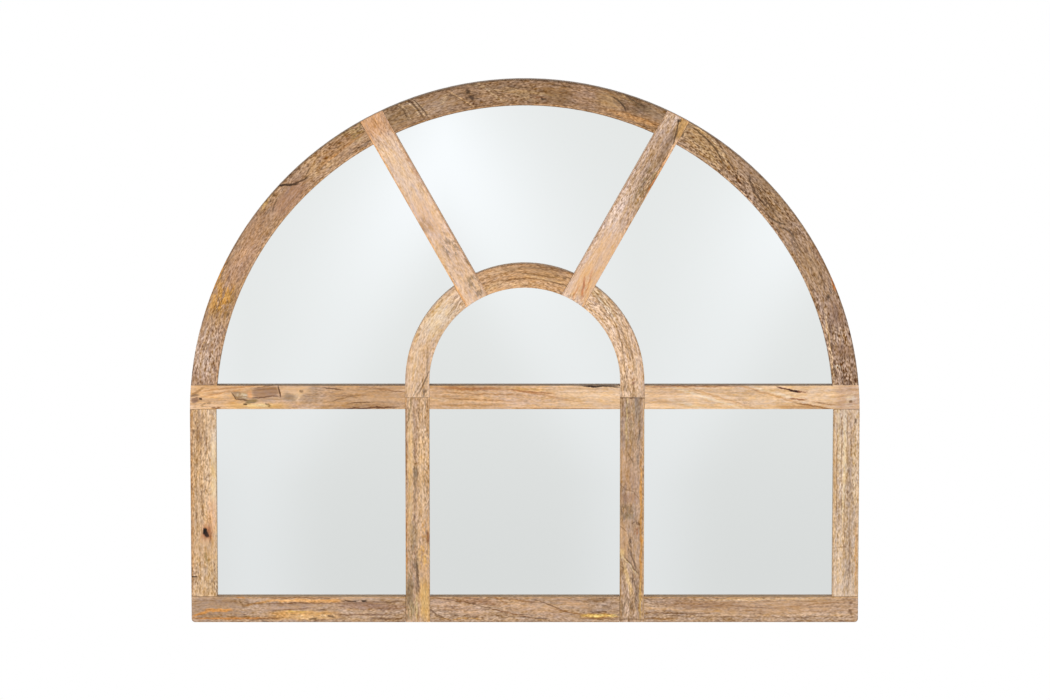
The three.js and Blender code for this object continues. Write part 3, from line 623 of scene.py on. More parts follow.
INNER_ARCH_TOP_MARKS = [
    Mark(52, 181, 45, 4.5, -12, 0x6E4E2C, 0.7, 0.5, flecked=True),
    Mark(47, 172, 39, 2.4, -14, 0x7A5732, 0.66, 0.5),
    Mark(61, 167, 36, 2.1, -20, 0x6E4E2C, 0.66, 0.5),
    Mark(67, 160, 27, 2.1, -28, 0xC8955A, 0.62, 0.5),
    Mark(3, 178, 42, 2.1, -2, 0x8A6238, 0.7, 0.5),
    Mark(-37, 188, 51, 9, 12, 0xD0A880, 0.6, 0.6),
    Mark(-7, 194, 60, 4.5, 4, 0x9E7850, 0.6, 0.6),
    Mark(30, 190, 45, 15, -8, 0xA67E54, 0.6, 0.7),
    Mark(-30, 176, 60, 2.2, 8, 0x8E6438, 0.7, 0.4),
    Mark(-40, 184, 50, 2, 16, 0x9A6E42, 0.62, 0.4),
    Mark(20, 184, 60, 2.2, -8, 0x86602F, 0.7, 0.4),
    Mark(-4, 170, 60, 2.4, 0, 0xDDB384, 0.7, 0.5),
    Mark(30, 178, 60, 2.2, -10, 0xD8AE78, 0.62, 0.5),
    Mark(-50, 166, 30, 8, 24, 0xD2A878, 0.7, 0.6),
]
INNER_ARCH_RIGHT_MARKS = [
    Mark(104, 152, 60, 2.2, -48, 0x9A7852, 0.42, 0.4, bend=-2),
    Mark(109, 150, 66, 2.6, -52, 0xEED6B4, 0.58, 0.4, bend=-2),
    Mark(114, 147, 70, 2, -54, 0x8E6E4A, 0.42, 0.4, bend=-3),
    Mark(119, 145, 74, 2.8, -55, 0xEED6B4, 0.58, 0.4, bend=-3),
    Mark(124, 142, 74, 2, -56, 0x94724C, 0.42, 0.4, bend=-3),
    Mark(131, 138, 70, 2.4, -56, 0xE8CCA8, 0.54, 0.4, bend=-4),
    Mark(136, 132, 60, 2, -58, 0x94704A, 0.54, 0.4, bend=-4),
    Mark(139, 98, 66, 2.2, -70, 0x94724C, 0.4, 0.4, bend=-2),
    Mark(150, 84, 60, 2.2, -72, 0x9A7850, 0.51, 0.4, bend=-2),
    Mark(148, 56, 60, 2, -82, 0x94724C, 0.4, 0.4),
    Mark(160, 60, 70, 2.2, -80, 0x9A7A54, 0.51, 0.4),
    Mark(163, 25, 14, 4.4, 60, 0x7E4030, 0.7, 0.4, flecked=True),
    Mark(148, 22, 36, 2.2, -72, 0x7A5E40, 0.54, 0.4),
    Mark(155, 12, 30, 2.2, -66, 0x8A6C4A, 0.51, 0.4),
    Mark(166, 44, 4.5, 45, 0, 0xE0BC96, 0.6, 0.5),
    Mark(158, 8, 32, 18, 0, 0xAE8A62, 0.6, 0.6, flecked=True),
]
LEFT_POST_MARKS = [
    Mark(-152, -100, 16, 190, 0, 0xD6B188, 0.7, 0.6),
    Mark(-171, -110, 6.5, 190, 0, 0xE0B988, 0.85, 0.5, calm=0.5),
    Mark(-178, -60, 3, 100, 1, 0x9A7048, 0.8, 0.5),
    Mark(-165, -108, 3, 110, 1, 0x84663E, 0.75, 0.5, flecked=True),
    Mark(-163, -115, 7, 18, 0, 0x8E785E, 0.8, 0.5),
    Mark(-154, -30, 18, 26, 0, 0xA67F58, 0.6, 0.6, flecked=True),
    Mark(-172, -20, 3, 46, -8, 0x92744C, 0.7, 0.5),
    Mark(-149, -200, 9, 24, 0, 0xDCA45E, 0.8, 0.5, flecked=True),
    Mark(-145, -212, 5, 18, 0, 0x7E4A2C, 0.74, 0.5),
    Mark(-152, -240, 16, 36, -4, 0xD9A85E, 0.75, 0.6, flecked=True),
    Mark(-178, -225, 4, 90, 0, 0xC08448, 0.6, 0.5),
    Mark(-166, -208, 10, 34, 4, 0xA48A6C, 0.7, 0.6),
    Mark(-165, -240, 9, 50, 6, 0x94806A, 0.6, 0.5, flecked=True),
    Mark(-164, -240, 3, 40, 8, 0x745E48, 0.6, 0.5, flecked=True),
    Mark(-161, -270, 4.5, 40, 8, 0x705842, 0.75, 0.4, flecked=True),
    Mark(-172, -268, 7, 60, 3, 0x94805F, 0.7, 0.5, flecked=True),
    Mark(-173, -296, 12, 40, 0, 0x846C4E, 0.79, 0.4),
    Mark(-161, -288, 6, 16, 0, 0x7E6452, 0.7, 0.4),
    Mark(-170, -324, 14, 26, 0, 0x9A845E, 0.8, 0.5, flecked=True),
    Mark(-150, -308, 13, 60, 2, 0xD9AC68, 0.85, 0.5, calm=0.4),
    Mark(-162, -318, 2.4, 40, -2, 0xE0C490, 0.7, 0.5),
]
RIGHT_POST_MARKS = [
    Mark(152, -40, 2.6, 90, -1, 0xE0C08C, 0.85, 0.4),
    Mark(158, -46, 10, 100, -3, 0x9C7E54, 0.6, 0.5, flecked=True),
    Mark(163, -1.6, 40, 1.8, 0, 0x74522F, 0.7, 0.4),
    Mark(168, -15, 7, 40, 0, 0x94806E, 0.75, 0.5),
    Mark(170, -68, 4, 80, -2, 0x84705E, 0.8, 0.5, flecked=True),
    Mark(150, -100, 22, 50, 0, 0xC9A382, 0.8, 0.6, calm=0.3),
    Mark(159, -124, 24, 34, 0, 0xC6A080, 0.75, 0.5, calm=0.3),
    Mark(158, -92, 1.9, 24, 24, 0x8A6A44, 0.7, 0.4),
    Mark(145, -134, 15, 1.9, -44, 0x84603C, 0.6, 0.4),
    Mark(156, -141, 16, 1.8, -6, 0x84603C, 0.55, 0.4),
    Mark(167, -148, 14, 1.8, -52, 0x7A5634, 0.7, 0.4),
    Mark(156, -153, 26, 14, 0, 0xB48E72, 0.8, 0.5, calm=0.5),
    Mark(152, -172, 26, 16, 0, 0x8A7054, 0.75, 0.5, flecked=True),
    Mark(156, -180, 16, 9, 0, 0x94806A, 0.7, 0.5),
    Mark(167, -190, 14, 7, -10, 0x5E3E24, 0.74, 0.4, flecked=True),
    Mark(169, -204, 10, 12, 0, 0x9A5E34, 0.7, 0.5, flecked=True),
    Mark(148, -215, 12, 44, 4, 0xC9A078, 0.85, 0.5, calm=0.6),
    Mark(147, -199, 13, 1.8, -38, 0x8A6644, 0.7, 0.4),
    Mark(157, -226, 6, 30, 0, 0x4E382A, 0.78, 0.4, flecked=True),
    Mark(162, -246, 3, 36, 22, 0x6A5240, 0.7, 0.4),
    Mark(145, -237, 8, 14, 0, 0xDCB67E, 0.85, 0.5),
    Mark(157, -254, 34, 2.2, -52, 0xDCC096, 0.75, 0.4),
    Mark(160, -255, 38, 2.2, -52, 0x6A4C30, 0.6, 0.4),
    Mark(147, -256, 5, 16, 20, 0x6E5234, 0.66, 0.5, flecked=True),
    Mark(155, -276, 5, 50, 14, 0xD2AC78, 0.85, 0.5),
    Mark(150, -288, 3, 60, 8, 0x74563A, 0.6, 0.5, flecked=True),
    Mark(163, -284, 4, 54, 10, 0x6E5640, 0.7, 0.5, flecked=True),
    Mark(143, -280, 3, 60, 0, 0xA87E4C, 0.7, 0.5),
    Mark(167, -300, 8, 40, 4, 0x88705A, 0.7, 0.5, flecked=True),
    Mark(174, -190, 3.6, 200, 0, 0xD09448, 0.85, 0.4),
    Mark(173, -308, 3.6, 60, 0, 0xC89C54, 0.8, 0.5),
    Mark(152, -322, 18, 26, 0, 0x7E6850, 0.66, 0.5, flecked=True),
    Mark(158, -337, 36, 2.4, 0, 0x6E4C2A, 0.57, 0.5),
]

# The painted light and shade on the sides that face upwards, and how much of it shows, by board or
# else by slot: a darker tone is painted shade where those sides get less light, as along the top of
# the transom, and the lighter tone on the spokes is a painted highlight.
UPWARD_PAINTED_SHADING = {
    "transom_rail": (0x3A281C, 0.6),
    "bottom_rail": (0x9A8468, 0.3),
    "outer_arch_wood": (0x6B5138, 0.55),
    "spoke_wood": (0xF0B27A, 0.9),
}
PLAIN_UPWARD_PAINTED_SHADING = (0x6B5138, 0.2)

# The edges of each board are painted shade and painted highlights along its rims.
BOARDS = [
    Board(
        "transom_rail", "rail_wood", HALF_BAR, 0xE1B995, 1, 0.35, Straight(0, 0, 0),
        [Edge(1, 1.5, 1.5, 0xE0B48A, 0.4), Edge(-1, 1.5, 1.5, 0xE2B98C, 0.4)], TRANSOM_RAIL_MARKS,
    ),
    Board(
        "bottom_rail", "rail_wood", HALF_FRAME, 0xBC9B7E, 1, 0.7, Straight(0, RAIL_HEIGHT, 0),
        [Edge(1, 1.5, 1.5, 0xC99A66, 0.5), Edge(-1, 1.2, 1.2, 0x8A6440, 0.4)], BOTTOM_RAIL_MARKS,
    ),
    Board(
        "left_stile", "rail_wood", HALF_FRAME, 0xD9B58F, 1, 0.8, Straight(-STILE_MIDDLE, 0, 90),
        [Edge(1, 1.5, 1.5, 0xB07E48, 0.6), Edge(-1, 1.5, 1.5, 0xE0C6A4, 0.4)], LEFT_STILE_MARKS,
    ),
    Board(
        "right_stile", "rail_wood", HALF_FRAME, 0xE0C3A6, 0.65, 0.6, Straight(STILE_MIDDLE, 0, 90),
        [Edge(-1, 1.5, 1.5, 0xC09868, 0.5), Edge(1, 1.5, 1.5, 0xB58C5C, 0.5)], RIGHT_STILE_MARKS,
    ),
    Board(
        "outer_arch_left", "outer_arch_wood", HALF_FRAME, 0xB7916F, 0.6, 1,
        Bent(OUTER_CENTRE, OUTER_RADIUS, -1),
        OUTER_ARCH_EDGE_SHADING, OUTER_ARCH_LEFT_MARKS,
    ),
    Board(
        "outer_arch_top", "outer_arch_wood", HALF_FRAME, 0xA17E5F, 0.9, 0.95,
        Bent(OUTER_CENTRE, OUTER_RADIUS, 0),
        OUTER_ARCH_EDGE_SHADING, OUTER_ARCH_TOP_MARKS,
    ),
    Board(
        "outer_arch_right", "outer_arch_wood", HALF_FRAME, 0xB09077, 0.8, 1.5,
        Bent(OUTER_CENTRE, OUTER_RADIUS, 1),
        OUTER_ARCH_EDGE_SHADING, OUTER_ARCH_RIGHT_MARKS,
    ),
    Board(
        "left_spoke", "spoke_wood", HALF_BAR, 0xE6C1A1, 0.5, 0.5,
        Straight(0, SPOKE_MEETING, 90 + SPOKE_LEAN),
        [Edge(-1, 1.2, 1.0, 0xB0713C, 0.7), Edge(1, 1.5, 2.0, 0xEEB070, 0.8)], LEFT_SPOKE_MARKS,
    ),
    Board(
        "right_spoke", "spoke_wood", HALF_BAR, 0xE8C9B1, 0.6, 0.75,
        Straight(0, SPOKE_MEETING, 90 - SPOKE_LEAN),
        [Edge(1, 1.2, 1.0, 0xA87240, 0.7), Edge(-1, 1.5, 2.0, 0xDDA05C, 0.7)], RIGHT_SPOKE_MARKS,
    ),
    Board(
        "inner_arch_left", "inner_arch_wood", HALF_BAR, 0xE1BD9C, 0.6, 0.65,
        Bent(INNER_CENTRE, INNER_RADIUS, -1),
        INNER_ARCH_EDGE_SHADING, INNER_ARCH_LEFT_MARKS,
    ),
    Board(
        "inner_arch_top", "inner_arch_wood", HALF_BAR, 0xCFA277, 1.2, 0.8,
        Bent(INNER_CENTRE, INNER_RADIUS, 0),
        INNER_ARCH_EDGE_SHADING, INNER_ARCH_TOP_MARKS,
    ),
    Board(
        "inner_arch_right", "inner_arch_wood", HALF_BAR, 0xE2BD9B, 0.8, 0.8,
        Bent(INNER_CENTRE, INNER_RADIUS, 1),
        INNER_ARCH_EDGE_SHADING, INNER_ARCH_RIGHT_MARKS,
    ),
    Board(
        "left_post", "post_wood", HALF_BAR, 0xC9A483, 1, 0.8, Straight(-POST_SPACING / 2, 0, 90),
        [Edge(-1, 1.5, 1.5, 0xD0A070, 0.5), Edge(1, 1.5, 1.5, 0xC09060, 0.5)], LEFT_POST_MARKS,
    ),
    Board(
        "right_post", "post_wood", HALF_BAR, 0xBB9A7E, 1.1, 0.7, Straight(POST_SPACING / 2, 0, 90),
        [Edge(-1, 1.5, 1.5, 0xCFA066, 0.5), Edge(1, 1.5, 1.5, 0xB08858, 0.5)], RIGHT_POST_MARKS,
    ),
]


def plan_point(graph):
    """The point on the piece in millimetres: across the mirror, into its depth, above the transom."""
    lifted = graph.vector("SUBTRACT", graph.place(), (0, 0, TRANSOM_HEIGHT))
    return graph.scaled(lifted, 1 / MM)


def grain_of(graph, point, grain):
    """Along, across and into the depth of a member's grain, in millimetres."""
    if isinstance(grain, Straight):
        settings = {"vector_type": "TEXTURE"}
        sockets = {
            "Vector": point,
            "Location": (grain.x, 0, grain.height),
            "Rotation": (0, -math.radians(grain.turn), 0),
        }
        return graph.split(graph.node("ShaderNodeMapping", settings, sockets))
    x, depth, height = graph.split(point)
    level = height - grain.height
    rise = graph.math("MAXIMUM", level, 0)
    leg = graph.math("MINIMUM", level, 0)
    reach = graph.math("SQRT", x * x + rise * rise)
    turn = graph.math("ARCTAN2", rise, x)
    return turn * grain.radius + leg * grain.side, depth, reach - grain.radius


def mark_share(graph, warped, flecks, mark):
    """How much of a mark shows at a point: all of it in its middle, fading out at its rim.

    It is worked out with vector maths alone. With a Mapping node in each mark, a board with this many
    marks is more than the renderer has room for, and it draws it black.
    """
    turn = math.radians(mark.turn)
    offset = graph.vector("SUBTRACT", warped, (mark.x, 0, mark.height))
    along = graph.dot(offset, Vector((math.cos(turn), 0, math.sin(turn))) * (2 / mark.length))
    across = graph.dot(offset, Vector((-math.sin(turn), 0, math.cos(turn))) * (2 / mark.width))
    along = along * along
    if mark.bend:
        across = across - along * (mark.bend * 2 / mark.width)
    across = across * across
    reach = graph.math("POWER", along * along + across * across, 0.25)
    share = graph.between(reach, 1 + mark.soft, 1 - mark.soft) * mark.share
    return share * flecks if mark.flecked else share


def edge_shading_share(graph, across, edge, half):
    """How much of an edge's painted light or shade shows: all of it from its inset outwards."""
    reach = across * edge.side
    start = half - edge.inset
    share = graph.between(reach, start - edge.width, start)
    if edge.inset > edge.width:
        share = share * graph.between(reach, start + edge.width, start)
    return share * edge.share


NOISE_PER_BOARD = 1000
WIDE_SWAY = 14
CLOSE_SWAY = 1.5
RIM_WANDER = 6
MARKS_ON_SIDES = 0.2
STREAK_COLOUR = (0.95, 1.15, 1.45)
TINT_COLOUR = (0.2, -0.1, -0.9)
PORE_TONE = 0x5E4029
END_GRAIN_TONE = 0x7C5C40


def wood_finish(board, number, look):
    """The grain, the painted light and shade along its edges and on its upward sides, and the marks of
    a board, each board from a stretch of noise of its own.
    """
    material, graph = new_graph(board.name + "_finish")
    point = plan_point(graph)
    along, depth, across = grain_of(graph, point, board.grain)
    start = along + number * NOISE_PER_BOARD

    def streaks(length, width, detail, roughness=0.5):
        vector = graph.combined(start / length, depth / width, swayed / width)
        return graph.noise(vector, detail, roughness) - 0.5

    # The noise is drawn out along the grain. Its place across the board sways, so the streaks wave.
    swayed = across
    swayed = across + streaks(110, 40, 1) * WIDE_SWAY + streaks(22, 12, 1) * CLOSE_SWAY
    broad = streaks(200, 7, 2)
    fine = streaks(55, 2.2, 3, 0.65)
    speckle = streaks(3.7, 1.65, 0)
    fibres = streaks(14, 0.45, 2, 0.7)
    figure = graph.math("SINE", streaks(260, 34, 1) * 75 + streaks(30, 5, 1) * 4)
    tint = streaks(11, 3, 2, 0.6) + streaks(60, 9, 1) * 0.5
    pores = graph.between(streaks(8, 1.5, 1), 0.08, 0.16)
    flecks = graph.between(streaks(11, 4.2, 3, 0.7), -0.06, 0.04)

    # The rims of the marks wander, so that none has a clean outline.
    drift = graph.noise(graph.scaled(point, 0.09), 3.0, 0.6, 1)
    wander = graph.vector("SUBTRACT", drift, (0.5, 0.5, 0.5))
    warped = graph.vector("ADD", point, graph.scaled(wander, RIM_WANDER))
    colour = tone(board.tone)
    # The edges paint light and shade along the rims: darker bands are painted shade, lighter ones
    # painted highlights.
    for edge in board.edges:
        colour = graph.mixed(colour, tone(edge.tone), edge_shading_share(graph, across, edge, board.half))
    crisp = graph.between(streaks(140, 26, 1), -0.2, 0.2) * 0.6 + 0.7
    plain = colour
    for mark in board.marks:
        share = mark_share(graph, warped, flecks, mark)
        colour = graph.mixed(colour, tone(mark.tone), share)
        if mark.calm:
            crisp = crisp * (1 - share * mark.calm)
    # The marks belong to the front and the back. On the sides of the board little of them is left.
    facing_x, facing_y, facing_z = graph.split(graph.facing())
    flat = graph.between(graph.math("ABSOLUTE", facing_y), 0.1, 0.5)
    colour = graph.mixed(plain, colour, flat * (1 - MARKS_ON_SIDES) + MARKS_ON_SIDES)

    # A streak changes blue more than red, and tint makes the wood warmer or cooler.
    value = (broad * 0.7 + fine * 0.75 + figure * 0.05) * board.contrast
    value = value + speckle * crisp * (board.flecks * 1.45) + fibres * 0.4
    lift = graph.combined(value, value, value)
    shade = graph.vector("MULTIPLY", lift, STREAK_COLOUR)
    shade = graph.vector("ADD", shade, graph.scaled(TINT_COLOUR, tint))
    shade = graph.vector("ADD", shade, (1, 1, 1))
    colour = graph.vector("MULTIPLY", shade, colour)
    colour = graph.mixed(colour, tone(PORE_TONE), pores * crisp * (board.flecks * 0.5))
    # Painted shade: sides that face upwards are darkened as if they got less light. On the spokes they
    # are lightened instead, a painted highlight.
    upward_painted_shading = graph.between(facing_z, 0.25, 0.8)
    painted_shading_tone, painted_shading_share = UPWARD_PAINTED_SHADING.get(board.name, UPWARD_PAINTED_SHADING.get(board.slot, PLAIN_UPWARD_PAINTED_SHADING))
    colour = graph.mixed(colour, tone(painted_shading_tone), upward_painted_shading * painted_shading_share)
    # The cut ends of a straight board show darker rings.
    if isinstance(board.grain, Straight):
        turn = math.radians(board.grain.turn)
        ends = graph.math("ABSOLUTE", facing_x * math.cos(turn) + facing_z * math.sin(turn))
        cut = graph.between(ends, 0.75, 0.95)
        rings = graph.noise(graph.scaled(point, 0.8), 3.0, 0.6)
        colour = graph.mixed(colour, tone(END_GRAIN_TONE), cut * graph.between(rings, 0.3, 0.65) * 0.8)
    height = fine * 0.6 + speckle * 0.3 + fibres * 0.5 - pores * 1.5
    graph.surface({
        "Base Color": colour,
        "Roughness": look.roughness + speckle * 0.1,
        "Specular IOR Level": look.gloss,
        "Normal": graph.bump(height, look.relief, 0.6),
    })
    return material


def dressed_copy(node, ease):
    """A copy of a CAD node with its loose triangles merged and its sharp edges eased."""
    piece = copied(frame["nodes"][node], node + "_finished", Matrix.Identity(4))
    edit(piece)
    bpy.ops.mesh.remove_doubles(threshold=0.005 * MM)
    bpy.ops.mesh.dissolve_limited(angle_limit=math.radians(0.3))
    leave_edit()
    bevel = piece.modifiers.new("eased_edges", "BEVEL")
    bevel.limit_method = "ANGLE"
    bevel.angle_limit = math.radians(50)
    bevel.width = ease
    bevel.segments = 2
    weighted = piece.modifiers.new("flat_faces_stay_flat", "WEIGHTED_NORMAL")
    weighted.keep_sharp = True
    bpy.ops.object.modifier_apply(modifier=bevel.name)
    bpy.ops.object.shade_smooth_by_angle(angle=math.radians(40))
    bpy.ops.object.modifier_apply(modifier=weighted.name)
    return piece


class WoodLook(bpy.types.PropertyGroup):
    ease: FloatProperty(
        name="Edge ease", description="Width of the chamfer along every sharp edge",
        default=0.25 * MM, min=0, unit="LENGTH",
    )
    relief: FloatProperty(
        name="Relief", description="Depth of the open pores", default=0.15 * MM, min=0, unit="LENGTH",
    )
    roughness: FloatProperty(
        name="Roughness", description="How matt the finish is", default=0.5, min=0, max=1,
        subtype="FACTOR",
    )
    gloss: FloatProperty(
        name="Gloss", description="How strong the sheen on the wood is", default=0.3, min=0, max=1,
        subtype="FACTOR",
    )


class ARCHEDMIRROR_OT_wood_members(bpy.types.Operator):
    """Gives each wood member eased edges and the grain of its own board"""

    bl_idname = "arched_mirror.wood_members"
    bl_label = "Wood Members"

    def execute(self, context):
        look = context.scene.mirror_wood
        for number, board in enumerate(BOARDS):
            piece = dressed_copy(board.name, look.ease)
            painted(piece, wood_finish(board, number, look))
            settle(piece, board.name, "frame")
        return {"FINISHED"}


# The glass and the board behind it


GLASS_TINT = (0.93, 0.95, 0.945)


class GlassLook(bpy.types.PropertyGroup):
    silver: FloatVectorProperty(
        name="Silver", description="Tint of the mirror", default=GLASS_TINT, subtype="COLOR",
    )
    roughness: FloatProperty(
        name="Roughness", description="How much the mirror blurs", default=0.02, min=0, max=1,
        subtype="FACTOR",
    )


def silvered_glass(look):
    """Silver seen through the glass from the front, green at the cut edge, paint on the back."""
    material, graph = new_graph("silvered_glass")
    facing = graph.split(graph.facing())[1]
    front = graph.between(facing, -0.5, -0.9)
    back = graph.between(facing, 0.5, 0.9)
    mottle = graph.noise(graph.scaled(plan_point(graph), 1 / 30), 3.0)
    paint = graph.mixed(tone(0x5E6668), tone(0x788084), mottle)
    colour = graph.mixed(tone(0x7FA596), paint, back)
    colour = graph.mixed(colour, tuple(look.silver), front)
    graph.surface({
        "Base Color": colour,
        "Metallic": front,
        "Roughness": graph.between(facing, -0.9, 0.9) * 0.5 + look.roughness,
    })
    return material


# Radians of the woven print in a millimetre.
WEAVE = 3.1


def hardboard():
    """Pressed brown fibres: smooth, with a woven print on the side that faces the wall."""
    material, graph = new_graph("hardboard")
    point = plan_point(graph)
    x, depth, height = graph.split(point)
    clouds = graph.noise(graph.scaled(point, 1 / 60), 3.0)
    fibres = graph.noise(graph.combined(x / 5, depth, height / 1.6), 4.0, 0.7)
    flecks = graph.between(graph.noise(graph.scaled(point, 1 / 2.5), 2.0), 0.6, 0.72)
    colour = graph.mixed(tone(0x7E5C3F), tone(0x9A7650), clouds)
    colour = graph.mixed(colour, tone(0xA98660), graph.between(fibres, 0.45, 0.75) * 0.5)
    colour = graph.mixed(colour, tone(0x5F442E), flecks * 0.5)
    weave = graph.math("SINE", x * WEAVE) * graph.math("SINE", height * WEAVE)
    graph.surface({
        "Base Color": colour,
        "Roughness": fibres * 0.3 + 0.62,
        "Normal": graph.bump(weave * 0.4 + fibres, 0.2 * MM, 0.7),
    })
    return material


class ARCHEDMIRROR_OT_glass(bpy.types.Operator):
    """Silvers the glass and presses the board behind it"""

    bl_idname = "arched_mirror.glass"
    bl_label = "Glass and Board"

    def execute(self, context):
        painted(frame["nodes"]["mirror_glass"], silvered_glass(context.scene.mirror_glass))
        painted(frame["nodes"]["backing_board"], hardboard())
        return {"FINISHED"}


# Turned pieces and screws. A ring is a radius and a height in millimetres.

Ring = namedtuple("Ring", "radius height")


def turned(name, rings, sides):
    """A closed piece turned round Z, drawn up ring by ring from a disc."""
    first = rings[0]
    bpy.ops.object.select_all(action="DESELECT")
    bpy.ops.mesh.primitive_circle_add(
        vertices=sides, radius=first.radius * MM, fill_type="NGON",
        location=(0, 0, first.height * MM),
    )
    piece = bpy.context.object
    piece.name = name
    bpy.ops.object.transform_apply(location=True)
    edit(piece)
    for low, high in zip(rings, rings[1:]):
        rise = (high.height - low.height) * MM
        grow = high.radius / low.radius
        bpy.ops.mesh.extrude_region_move(TRANSFORM_OT_translate={"value": (0, 0, rise)})
        bpy.ops.transform.resize(value=(grow, grow, 1), center_override=(0, 0, high.height * MM))
    bpy.ops.mesh.select_all(action="SELECT")
    bpy.ops.mesh.normals_make_consistent(inside=False)
    leave_edit()
    return piece


SCREW_SIDES = 24

# The outline of the head, in shares of its radius and height, and the core in a share of the shank.
SCREW_CROWN = [(0.93, 0), (1, 0.08), (1, 0.42), (0.96, 0.62), (0.86, 0.8), (0.66, 0.93), (0.36, 1)]
CORE_SHARE = 0.72

# The neck, its shoulder, the point and the thread's ridge, in millimetres.
UNTHREADED = 1.4
SHOULDER = 0.3
POINT_RADIUS = 0.12
THREAD_RADIUS = 0.4
THREAD_SCALE = (1.15, 1, 0.75)
THREAD_STEPS = 16

# The cross recess, in shares of the head's radius and height, and how narrow its bars end.
RECESS_LENGTH = 1.05
RECESS_WIDTH = 0.2
RECESS_DEPTH = 0.8
RECESS_TAPER = 0.4
DOWNWARDS = -0.9


class Screw:
    """The sizes of a pan head screw, in millimetres. Its head stands on z = 0."""

    def __init__(self, shank, length, tip, head, height, pitch):
        self.shank = shank
        self.length = length
        self.tip = tip
        self.head = head
        self.height = height
        self.pitch = pitch
        self.core = shank * CORE_SHARE

    def rings(self):
        shank = [
            Ring(POINT_RADIUS, -self.length),
            Ring(self.core, self.tip - self.length),
            Ring(self.core, -UNTHREADED),
            Ring(self.shank, -UNTHREADED + SHOULDER),
            Ring(self.shank, 0),
        ]
        return shank + [Ring(self.head * wide, self.height * high) for wide, high in SCREW_CROWN]


BACKING_SCREW = Screw(shank=1.5, length=10, tip=3, head=3, height=1.6, pitch=1.1)
HANGER_SCREW = Screw(shank=1.75, length=15, tip=4, head=3.2, height=2, pitch=1.3)


def thread(screw):
    """A three-sided ridge that climbs round the core, closed at both ends."""
    low = screw.tip * 0.6 - screw.length
    turns = int((-UNTHREADED - low) / screw.pitch)
    bpy.ops.object.select_all(action="DESELECT")
    bpy.ops.mesh.primitive_circle_add(
        vertices=3, radius=THREAD_RADIUS * MM, fill_type="NOTHING",
        rotation=(math.pi / 2, math.pi / 2, 0), location=(screw.core * MM, 0, low * MM),
    )
    ridge = bpy.context.object
    bpy.ops.object.transform_apply(location=True, rotation=True)
    edit(ridge)
    bpy.ops.transform.resize(value=THREAD_SCALE, center_override=(screw.core * MM, 0, low * MM))
    leave_edit()
    climb = ridge.modifiers.new("climb", "SCREW")
    climb.axis = "Z"
    climb.screw_offset = screw.pitch * MM
    climb.iterations = turns
    climb.steps = climb.render_steps = THREAD_STEPS
    climb.use_smooth_shade = False
    bpy.ops.object.modifier_apply(modifier=climb.name)
    edit(ridge)
    bpy.ops.mesh.fill_holes(sides=3)
    bpy.ops.mesh.select_all(action="SELECT")
    bpy.ops.mesh.normals_make_consistent(inside=False)
    leave_edit()
    return ridge


def recess_bar(screw, turn):
    """A tapered bar that cuts one arm of the cross recess."""
    length = screw.head * RECESS_LENGTH
    width = screw.head * RECESS_WIDTH
    depth = screw.height * RECESS_DEPTH
    bpy.ops.object.select_all(action="DESELECT")
    bpy.ops.mesh.primitive_cube_add(size=1, location=(0, 0, screw.height * MM))
    bar = bpy.context.object
    bar.dimensions = (length * MM, width * MM, 2 * depth * MM)
    bar.rotation_euler = (0, 0, turn)
    bpy.ops.object.transform_apply(location=True, rotation=True, scale=True)
    edit(bar)
    bpy.ops.mesh.select_all(action="DESELECT")
    leave_edit()
    for face in bar.data.polygons:
        face.select = face.normal.z < DOWNWARDS
    bpy.ops.object.mode_set(mode="EDIT")
    bpy.ops.transform.resize(value=(RECESS_TAPER, RECESS_TAPER, 1), center_override=(0, 0, 0))
    leave_edit()
    return bar


def combine(piece, other, operation):
    """Joins or cuts a piece with another, which is used up."""
    select_only(piece)
    step = piece.modifiers.new("combine", "BOOLEAN")
    step.operation = operation
    step.solver = "EXACT"
    step.object = other
    bpy.ops.object.modifier_apply(modifier=step.name)
    bpy.data.objects.remove(other, do_unlink=True)


def screw_master(name, screw):
    piece = turned(name, screw.rings(), SCREW_SIDES)
    combine(piece, thread(screw), "UNION")
    for turn in (0, math.pi / 2):
        combine(piece, recess_bar(screw, turn), "DIFFERENCE")
    select_only(piece)
    bpy.ops.object.shade_smooth_by_angle(angle=math.radians(35))
    return piece


def bright_steel(name, light, dark, roughness):
    """Plated steel with faint clouds and fine scratches."""
    material, graph = new_graph(name)
    point = plan_point(graph)
    x, depth, height = graph.split(point)
    clouds = graph.noise(graph.scaled(point, 1 / 4), 3.0)
    scratches = graph.noise(graph.combined(x / 0.25, depth / 0.25, height / 5), 2.0, 0.7)
    graph.surface({
        "Base Color": graph.mixed(tone(dark), tone(light), clouds),
        "Metallic": 1,
        "Roughness": clouds * 0.16 + scratches * 0.12 + roughness,
        "Normal": graph.bump(scratches + clouds, 0.02 * MM, 0.5),
    })
    return material


def into_wood(place, turn):
    """The matrix that seats a turned piece on the back at a place, with its Z towards the wall."""
    axes = Matrix(((1, 0, 0), (0, 0, 1), (0, -1, 0))).to_4x4()
    return Matrix.Translation(place) @ axes @ Matrix.Rotation(turn, 4, "Z")


# How much further each screw is turned than the one before, so that their crosses differ.
SCREW_TURN = math.radians(37)


def drive_screws(name, screw, nodes, finish):
    """One screw is modelled and copied to each node, each turned a little further."""
    master = screw_master(name, screw)
    painted(master, finish)
    for number, node in enumerate(nodes):
        seat = middle(node)
        seat.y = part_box(node)[1].y - screw.height * MM
        turn = number * SCREW_TURN
        settle(copied(master, node + "_finished", into_wood(seat, turn)), node, "frame")
    bpy.data.objects.remove(master, do_unlink=True)


